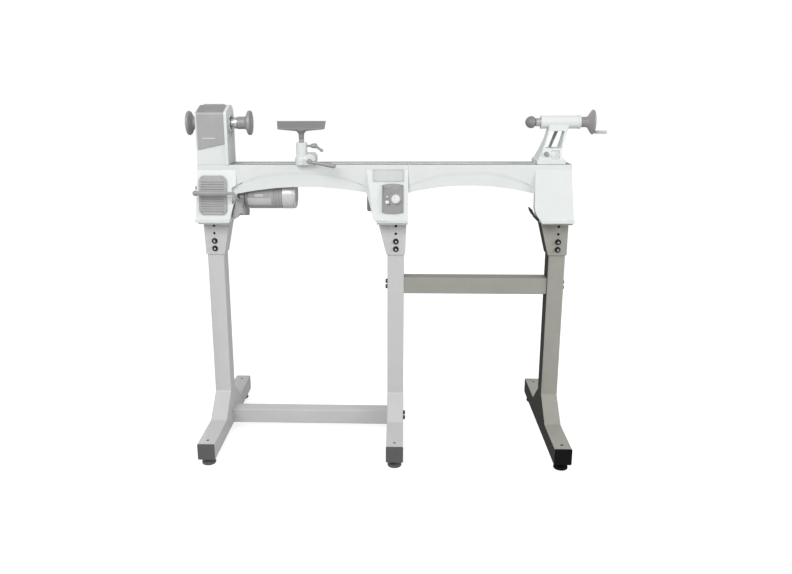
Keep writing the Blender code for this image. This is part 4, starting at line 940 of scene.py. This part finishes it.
def hinge():
    """Knuckles along the cover's rear edge, in turn on the casting and on the cover."""
    knuckle = rounded(mm((0, 0), (0, 2.7), (12.8, 2.7), (12.8, 0)), 0.0005)
    for name, body, slot, look, first in (("hinge_knuckles", "base", "dark_cast", DARK, 0),
                                          ("cover_knuckles", "top_cover", "cover_paint", COVER, 1)):
        bm = bmesh.new()
        for i in range(first, 5, 2):
            turned(knuckle, (-0.6105 + i * 0.0134, 0.0175, 1.1046), X, 24, bm)
        piece(name, bm, look, body, slot)


def ridge():
    """The shallow pressed ridge on the cover's front, where a finger lifts it."""
    bm = bmesh.new()
    section = mm((-1.2, 0), (-0.7, 0.7), (0.7, 0.7), (1.2, 0))
    rows = []
    for x, rise in ((-0.603, 0.1), (-0.6, 1.0), (-0.564, 1.0), (-0.561, 0.1)):
        rows.append([bm.verts.new((x, -0.0554 - out * rise, 1.0045 + dz)) for dz, out in section])
    loft(bm, rows)
    piece("cover_ridge", bm, KNOB, "top_cover", "cover_paint", angle=60)


def ball_bearing(node, x, radius):
    """Two races with a shield between them."""
    inner, width = SPINDLE_R + 0.0003, x[1] - x[0]
    shield_low, shield_high = inner + 0.0022, radius - 0.0026
    profile = [(0, inner), (0, shield_low), (0.0008, shield_low), (0.0008, shield_high), (0, shield_high),
               (0, radius), (width, radius), (width, shield_high), (width - 0.0008, shield_high),
               (width - 0.0008, shield_low), (width, shield_low), (width, inner)]
    detail(node, turned(profile, (x[0], 0, SPINDLE_Z), X, 64, ring=True), STEEL, bevel=0.0003, segments=2)


def spindle_parts():
    left = -0.657
    profile = [(0, 0.0048), (0, SPINDLE_R - 0.001), (0.001, SPINDLE_R), (0.1465, SPINDLE_R), (0.1465, 0.0178),
               (0.1472, 0.0185), (0.1558, 0.0185), (0.1565, 0.0178), (0.1565, SPINDLE_R)]
    thread = 0.1575
    for turn in range(7):
        start = thread + turn * 0.0032
        profile += [(start, SPINDLE_R), (start + 0.0012, SPINDLE_R), (start + 0.002, SPINDLE_R - 0.0012)]
    profile += [(0.183, SPINDLE_R - 0.001), (0.183, 0.0048)]
    detail("spindle", turned(profile, (left, 0, SPINDLE_Z), X, 64, ring=True), STEEL)
    pulley = stepped_pulley(SPINDLE_STEPS, SPINDLE_R + 0.0003)
    piece("spindle_pulley_detail", turned(pulley, (PULLEY_X, 0, SPINDLE_Z), X, 72, ring=True), DARK,
          "spindle_group", "dark_cast", replaces=("spindle_pulley",))
    wheel = rounded([(0.002, SPINDLE_R + 0.0003), (0.002, 0.023), (0, 0.026), (0, 0.033), (0.001, 0.0362),
                     (0.003, 0.0381), (0.0078, 0.0381), (0.011, 0.0355), (0.0155, 0.027), (0.02, 0.019),
                     (0.0245, 0.017), (0.028, 0.0165), (0.028, SPINDLE_R + 0.0003)], 0.0016)
    detail("outboard_handwheel", turned(wheel, (-0.661, 0, SPINDLE_Z), X, 80, ring=True), DARK, angle=28)
    bm = bmesh.new()
    for a in (0.0, math.pi / 2):
        out = Vector((0, math.sin(a), math.cos(a)))
        socket_screw(bm, Vector((-0.637, 0, SPINDLE_Z)) + out * 0.0162, out, 0.0026, 0.001)
    piece("outboard_handwheel_screws", bm, BLACK, "spindle_group", "black_steel")
    faceplate()


def faceplate():
    """The faceplate with its rings of screw holes."""
    start = Vector((-0.5, 0, SPINDLE_Z))
    profile = [(0.0275, 0), (0.0275, SPINDLE_R + 0.0003), (0, SPINDLE_R + 0.0003)]
    profile += rounded([(0, SPINDLE_R + 0.0006), (0, 0.0195), (0.0225, 0.0195), (0.028, 0.0225),
                        (0.0305, 0.032), (0.0335, 0.0372), (0.035, 0.0381), (0.0412, 0.0381), (0.043, 0.0368),
                        (0.043, 0.0345), (0.0424, 0.0338), (0.0424, 0.012), (0.043, 0.0112), (0.043, 0)],
                       0.0012)[1:]
    obj = detail("faceplate", turned(profile, start, X, 80), DARK, angle=28)
    holes = []
    for count, ring_radius, radius, first in ((4, 0.0175, 0.0022, 45), (6, 0.029, 0.0026, 0)):
        for i in range(count):
            a = math.radians(first + 360 * i / count)
            at = start + Vector((0.046, ring_radius * math.cos(a), ring_radius * math.sin(a)))
            hole = [(0, 0), (0, radius * 2.3), (0.0035, radius * 1.9), (0.006, radius), (0.0165, radius),
                    (0.0165, 0)]
            holes.append(turned(hole, at, -X, 20))
    carve(obj, *holes)
    obj.data.set_sharp_from_angle(angle=math.radians(28))


def arc(centre, radius, start, end, steps):
    turns = [math.radians(start + (end - start) * i / steps) for i in range(steps + 1)]
    return [(centre[0] + radius * math.cos(t), centre[1] + radius * math.sin(t)) for t in turns]


def drive_belt():
    """A ribbed belt round the middle steps of both pulleys."""
    (ay, az), (by, bz) = (0.0, SPINDLE_Z), (MOTOR_Y, MOTOR_Z)
    big, small = SPINDLE_STEPS[1] + 0.0003, MOTOR_STEPS[1] + 0.0003
    span = math.dist((ay, az), (by, bz))
    heading = math.degrees(math.atan2(bz - az, by - ay))
    spread = math.degrees(math.acos((big - small) / span))
    ribs, width, thick = 5, 0.012, 0.0038
    section = [(-width / 2, thick), (width / 2, thick)]
    for k in range(ribs):
        right = width / 2 - k * width / ribs
        section += [(right, 0.0012), (right - width / ribs * 0.35, 0.0), (right - width / ribs * 0.65, 0.0)]
    section.append((-width / 2, 0.0012))
    bm = bmesh.new()
    rows = []
    for x, out in section:
        loop = arc((ay, az), big + out, heading + spread, heading + 360 - spread, 40)
        loop += arc((by, bz), small + out, heading - spread, heading + spread, 32)
        rows.append([bm.verts.new((BELT_X + x, y, z)) for y, z in loop])
    loft(bm, rows, loop=True)
    belt = piece("drive_belt_detail", bm, RUBBER, None, SLOT_OF["drive_belt"], replaces=("drive_belt",))
    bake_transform(belt)


# ---------------------------------------------------------------- motor

MOTOR_R = 0.046
MOTOR_LEFT_X = -0.486
PIVOT_Y, PIVOT_Z = 0.05, 0.757
LEVER_Y, LEVER_Z = -0.1, 0.838


def on_motor(x, height, radius):
    """A point on the motor's front, this far above its axis."""
    return Vector((x, MOTOR_Y - math.sqrt(radius ** 2 - height ** 2), MOTOR_Z + height))


def motor_label(name, x, heights, look):
    """A thin blank plate bent round the motor's front."""
    bm = bmesh.new()
    steps = 10
    rows = []
    for i in range(steps + 1):
        height = heights[0] + (heights[1] - heights[0]) * i / steps
        rows.append([bm.verts.new(on_motor(at, height, radius))
                     for at, radius in ((x[0], MOTOR_R - 0.0003), (x[0], MOTOR_R + 0.0006),
                                        (x[1], MOTOR_R + 0.0006), (x[1], MOTOR_R - 0.0003))])
    loft(bm, rows)
    piece(name, bm, look, "motor_carrier", "bright_steel", bevel=0.0002, segments=2)


def motor():
    axis = Vector((MOTOR_LEFT_X, MOTOR_Y, MOTOR_Z))
    r = MOTOR_R
    case = [(0.013, 0), (0, 0.0083), (0, r - 0.006), (0.002, r - 0.0042), (0.0118, r - 0.003), (0.0128, r),
            (0.096, r), (0.0965, r - 0.0016)]
    for i in range(3):
        start = 0.0975 + i * 0.0085
        case += [(start, r - 0.0016), (start + 0.0004, r), (start + 0.0056, r), (start + 0.006, r - 0.0016)]
    case += [(0.1225, r - 0.003), (0.1225, r - 0.0015), (0.159, r - 0.0015), (0.159, 0)]
    bm = turned(rounded(case, 0.0008), axis, X, 96)
    piece("motor_case", bm, MOTOR, "motor_carrier", "motor_paint", angle=30, replaces=("motor_body",))
    band = rounded([(0.1222, r - 0.003), (0.1222, r - 0.0006), (0.1236, r + 0.0004), (0.1566, r + 0.0004),
                    (0.1578, r - 0.0006), (0.1578, r - 0.003)], 0.0008)
    piece("motor_band", turned(band, axis, X, 96, ring=True), RING, "motor_carrier", "bright_steel", angle=30)
    cover = rounded([(0.158, 0), (0.158, r - 0.0004), (0.162, r - 0.001), (0.1643, r - 0.0034),
                     (0.1648, r - 0.007), (0.1648, 0)], 0.0022)
    bm = turned(cover, axis, X, 96)
    # The fan cover's slots are dark strips of painted shadow on its end.
    first = len(bm.faces)
    for ring_radius in (0.01, 0.016, 0.022, 0.028, 0.0335):
        count = max(6, int(ring_radius * 1000 / 1.6) // 2 * 2)
        for i in range(count):
            a = 2 * math.pi * i / count
            here = Matrix.Translation(axis + Vector((0.1642, 0, 0))) @ Matrix.Rotation(a, 4, "X")
            block((0, 0.00085), (ring_radius - 0.0021, ring_radius + 0.0021), (-0.0008, 0.0008), bm, here)
    recolour(bm, first)
    piece("motor_fan_cover", bm, [RING, SLOT_PAINTED_SHADOW], "motor_carrier", "cover_paint", angle=30)
    motor_label("motor_label", (-0.475, -0.399), (-0.03, -0.007), LABEL)
    motor_label("motor_label_small", (-0.4505, -0.4235), (-0.002, 0.006), LABEL)
    rotor()
    mount()


def rotor():
    start = -0.604
    profile = mm((0, 0), (0, 7), (1, 8))
    steps = stepped_pulley(MOTOR_STEPS, 0.008)
    profile += [(PULLEY_X - start + along, radius) for along, radius in steps]
    profile += [(-0.43 - start, 0.008), (-0.43 - start, 0)]
    detail("motor_rotor", turned(profile, (start, MOTOR_Y, MOTOR_Z), X, 72), STEEL)


def mount():
    """The cast plate and its pivot barrel, its bolts, and the tension lever with its handle."""
    low, high = -0.4965, -0.4865
    bm = turned([(0, 0.011), (0, 0.045), (high - low, 0.045), (high - low, 0.011)], (low, MOTOR_Y, MOTOR_Z),
                X, 64, ring=True)
    arm = [(PIVOT_Y + 0.01, PIVOT_Z - 0.004), (PIVOT_Y - 0.008, PIVOT_Z - 0.01), (0.004, 0.7835),
           (-0.016, 0.8), (-0.038, 0.806), (-0.038, 0.82), (-0.02, 0.832), (-0.017, 0.824), (-0.012, 0.802),
           (0.016, 0.79), (0.042, 0.804), (0.046, 0.836), (PIVOT_Y + 0.012, PIVOT_Z + 0.004)]
    prism(arm, SIDE_ON, low, high, bm)
    lug = mm((-518.5, 752), (-515, 776), (-508, 801), (-504.5, 812), (-487, 812), (-487, 787),
             (-483.3, 783.5), (-481.4, 762), (-490, 770), (-496.5, 764), (-506, 752.5))
    prism(lug, FACE_ON, -0.06, -0.02, bm)
    turned([(0, 0.0063), (0, 0.012), (high + 0.519, 0.012), (high + 0.519, 0.0063)],
           (-0.519, PIVOT_Y, PIVOT_Z), X, 48, bm, ring=True)
    plate = piece("motor_mount_plate", bm, MOTOR, "motor_carrier", "dark_cast", angle=180,
                  replaces=("motor_mount",))
    melt(plate, 0.0011, 4)
    bm = bmesh.new()
    for a in (45, 135, 225, 315):
        at = (low, MOTOR_Y + 0.033 * math.cos(math.radians(a)), MOTOR_Z + 0.033 * math.sin(math.radians(a)))
        hex_bolt(bm, at, -X, 0.01, 0.004, 0.007, about=a)
    piece("motor_bolts", bm, BLACK, "motor_carrier", "black_steel", bevel=0.0003, segments=2)
    x = (low + high) / 2
    bend = [(x, -0.03, 0.813), (x, -0.06, 0.813), (x, -0.082, 0.8135), (x - 0.001, -0.0945, 0.818),
            (x - 0.0045, LEVER_Y, 0.8275), (x - 0.012, LEVER_Y, LEVER_Z - 0.0015),
            (x - 0.022, LEVER_Y, LEVER_Z), (-0.53, LEVER_Y, LEVER_Z)]
    tube("tension_lever_rod", bend, 0.0042, DARK, "motor_carrier")
    bm = bmesh.new()
    stations = [(-0.5215, 0.0042, 0.0042), (-0.524, 0.0046, 0.0055), (-0.529, 0.005, 0.007),
                (-0.61, 0.005, 0.007), (-0.617, 0.0048, 0.0064)]
    rows = []
    for at, half_y, half_z in stations:
        rows.append([bm.verts.new((at, LEVER_Y + u, LEVER_Z + v))
                     for u, v in rounded_outline(half_y, half_z, min(half_y, half_z) * 0.85, 5)])
    loft(bm, rows)
    ball = [(0, 0)] + [(0.009 - 0.009 * math.cos(math.radians(t)), 0.009 * math.sin(math.radians(t)))
                       for t in range(15, 166, 15)] + [(0.018, 0)]
    turned(ball, (-0.632, LEVER_Y, LEVER_Z), X, 40, bm)
    piece("tension_lever_handle", bm, DARK, "motor_carrier", "dark_cast", angle=40)


# ---------------------------------------------------------------- tool rest

POST_X, POST_Y = -0.291, -0.06
LOCK = Vector((-0.265, -0.076, 0.936))
RATCHET = Vector((-0.253, -0.06, 0.981))
CLAMP_BOLT_X, CLAMP_BOLT_Y = -0.2835, 0.012


def bar(bm, start, end, radii, steps=28):
    """A round bar whose radius runs through the given values, with a rounded far end."""
    start, end = Vector(start), Vector(end)
    run = (end - start).length
    last = radii[-1]
    count = len(radii) - 1
    profile = [(0, 0), (0, radii[0])]
    profile += [((run - last) * i / count, radius) for i, radius in enumerate(radii) if i]
    profile += [(run - last + last * math.sin(math.radians(t)), last * math.cos(math.radians(t)))
                for t in (20, 40, 60, 78)]
    return turned(profile + [(run, 0)], start, end - start, steps, bm)


def tool_rest():
    def boss(bm):
        rod(0.03, 0.0165, (LOCK.x, -0.076, 0.9395), Y, 48, bm)

    cast("banjo", CASTING, 0.0012, 8, extra=boss)
    refine("banjo_clamp_plate", [DARK], 0.0015, 0.006, 3)
    bm = rod(0.0268, 0.006, (CLAMP_BOLT_X, CLAMP_BOLT_Y, 0.9125), Z, 32)
    hex_bolt(bm, (CLAMP_BOLT_X, CLAMP_BOLT_Y, 0.8877), -Z, 0.018, 0.0078)
    rod(0.026, 0.006, (CLAMP_BOLT_X, CLAMP_BOLT_Y, 0.887), Z, 32, bm)
    detail("banjo_clamp_bolt", bm, STEEL, bevel=0.0004, segments=2)
    banjo_lever()
    ratchet_lever()
    post = rounded(mm((1.2, 0), (1.2, 5), (4.2, 7.9), (65.3, 7.9), (65.3, 0)), 0.0004)
    detail("tool_rest_post", turned(post, (POST_X, POST_Y, 0.9375), Z, 40), DARK)
    # The tool rest is in the darker copy of dark_cast: painted shade.
    cast("tool_rest", REST_PAINTED_SHADE, 0.001, 5)


def banjo_lever():
    """The clamp shaft, its hub and a handle that thickens towards its end."""
    bm = turned(rounded(mm((0, 0), (0, 6.2), (2, 7.6), (19, 7.6), (23, 6.4), (23, 6), (65, 6), (65, 0)),
                        0.0012), (LOCK.x, -0.103, LOCK.z), Y, 40)
    bar(bm, (LOCK.x + 0.002, -0.094, LOCK.z - 0.001), (-0.181, -0.106, 0.922),
        (0.0046, 0.005, 0.0058, 0.0068, 0.0072))
    detail("banjo_lock_lever", bm, DARK, angle=40)


def ratchet_lever():
    bm = rod(0.022, 0.0036, (-0.2795, RATCHET.y, RATCHET.z), X, 28)
    turned(rounded(mm((0, 0), (0, 5.2), (3, 6.8), (15, 8), (19, 6.4), (20.5, 0)), 0.0012),
           (-0.262, RATCHET.y, RATCHET.z), X, 36, bm)
    tip = Vector((-0.223, RATCHET.y - 0.027, RATCHET.z - 0.014))
    bar(bm, (-0.249, RATCHET.y, RATCHET.z), tip, (0.0052, 0.0038, 0.0038, 0.005))
    detail("tool_rest_lock_lever", bm, DARK, angle=40)


# ---------------------------------------------------------------- tailstock

QUILL_LOCK_X = 0.485
CLAMP_SHAFT_X, CLAMP_SHAFT_Z = 0.47, 0.953
SPINNER_Z = SPINDLE_Z - 0.031


def tailstock():
    pocket = block((0.4835, 0.511), (-0.06, -0.0335), (0.9385, 0.964))
    rear_pocket = block((0.4835, 0.511), (0.0335, 0.06), (0.9385, 0.964))
    cast("tailstock_body", CASTING, 0.0013, 5, pockets=(pocket, rear_pocket))
    for name, x in (("barrel_front_ring", (0.4535, 0.459)), ("barrel_rear_ring", (0.569, 0.577))):
        ring = rounded([(0, 0.015), (0, 0.0198), (0.001, 0.021), (x[1] - x[0] - 0.001, 0.021),
                        (x[1] - x[0], 0.0198), (x[1] - x[0], 0.015)], 0.0008)
        piece(name, turned(ring, (x[0], 0, SPINDLE_Z), X, 64, ring=True), CASTING, "tailstock",
              "casting_paint")
    refine("tailstock_clamp_plate", [DARK], 0.0012, 0.008, 3)
    quill()
    live_center()
    handwheel()
    clamp_lever()
    quill_lever()


def quill():
    """The quill with its ring marks, its front lip and its two bores."""
    profile = mm((0, 8.3), (0, 12), (1, 13))
    for i in range(1, 15):
        at = i * 0.003175
        profile += [(at - 0.0003, 0.013), (at, 0.0127), (at + 0.0003, 0.013)]
    profile += mm((122, 13), (122, 6.8), (55, 6.8), (55, 6), (42, 8.3))
    detail("quill", turned(profile, (0.438, 0, SPINDLE_Z), X, 64, ring=True), STEEL)


def live_center():
    """A point, a rounded body with a grip groove and the shank in the quill."""
    profile = rounded(mm((0, 0), (0.5, 4), (3.5, 10.5), (8.5, 15.5), (14.5, 18.2), (17, 18.7), (18, 17.9),
                         (19, 18.7), (20.5, 18.7), (26, 17), (31, 12), (31.5, 8), (64, 7.2), (64, 0)), 0.0007)
    detail("live_center", turned(profile, (0.406, 0, SPINDLE_Z), X, 72), REST_PAINTED_SHADE, angle=26)


def handwheel():
    """The handwheel with its screw, its dished rim and the pin that the crank handle turns on."""
    start = 0.505
    profile = mm((0, 0), (0, 5.6))
    for turn in range(22):
        at = 0.001 + turn * 0.003175
        profile += [(at, 0.0062), (at + 0.0014, 0.0062), (at + 0.0019, 0.0053), (at + 0.0028, 0.0053)]
    profile += rounded(mm((73.5, 6.2), (73.5, 15), (74.5, 15.8), (90.5, 16.2), (94, 17.8), (100, 26.5),
                          (107, 36.5), (109.5, 38.1), (111.8, 37.9), (113, 36.6), (113, 33), (111.2, 29),
                          (109.2, 20), (109.2, 12.5), (112, 9.8), (112, 0)), 0.0012)
    bm = turned(profile, (start, 0, SPINDLE_Z), X, 80)
    turned(mm((0, 0), (0, 4.2), (4.5, 4.2), (5, 2.8), (42.5, 2.8), (43, 0)),
           (0.612, 0, SPINNER_Z), X, 24, bm)
    turned(rounded(mm((0, 0), (0, 4), (1.8, 3.6), (2.4, 0)), 0.0006), (0.661 - 0.0022, 0, SPINNER_Z), X, 24,
           bm)
    detail("tailstock_handwheel", bm, DARK, angle=28)
    spinner = rounded(mm((0, 3.1), (0, 4.6), (3, 5.2), (12, 5), (24, 4.6), (34, 5), (36.8, 4.4), (37.5, 3.1)),
                      0.001)
    detail("handwheel_spinner", turned(spinner, (0.6235, 0, SPINNER_Z), X, 40, ring=True), SPINNER, angle=40)


def clamp_lever():
    """The shaft across the tailstock and its bent handle behind."""
    x, z = CLAMP_SHAFT_X, CLAMP_SHAFT_Z
    bm = turned(rounded(mm((0, 0), (0, 5.5), (1, 6.5), (105, 6.5), (105, 9.5), (120, 9.5), (121, 8),
                           (121, 0)), 0.0006), (x, -0.0525, z), Y, 40)
    bar(bm, (0.4985, 0.064, z + 0.0155), (0.5268, 0.0661, z + 0.0905), (0.0046, 0.0048, 0.0054, 0.0059), 28)
    detail("tailstock_clamp_lever", bm, DARK, angle=40)
    bend = [(x, 0.06, z), (0.479, 0.061, z + 0.0005), (0.487, 0.062, z + 0.003), (0.4955, 0.063, z + 0.01),
            (0.4995, 0.064, z + 0.019)]
    tube("tailstock_clamp_lever_shank", bend, 0.0045, DARK, "tailstock_lever")


def quill_lever():
    x, z = QUILL_LOCK_X, SPINDLE_Z
    bm = turned(rounded(mm((0, 0), (0, 4), (9.5, 4), (9.5, 6.2), (11.5, 7.2), (21.5, 7.2), (23.2, 5.6),
                           (23.2, 0)), 0.0008), (x, 0.015, z), Y, 36)
    bar(bm, (x, 0.032, z), (x + 0.0425, 0.0362, z - 0.0042), (0.0038, 0.0036, 0.0044, 0.0056), 28)
    detail("quill_lock_lever", bm, DARK, angle=40)


make_camera()
make_stage()
make_lights()
stand()
bed()
headstock()
motor()
tool_rest()
tailstock()
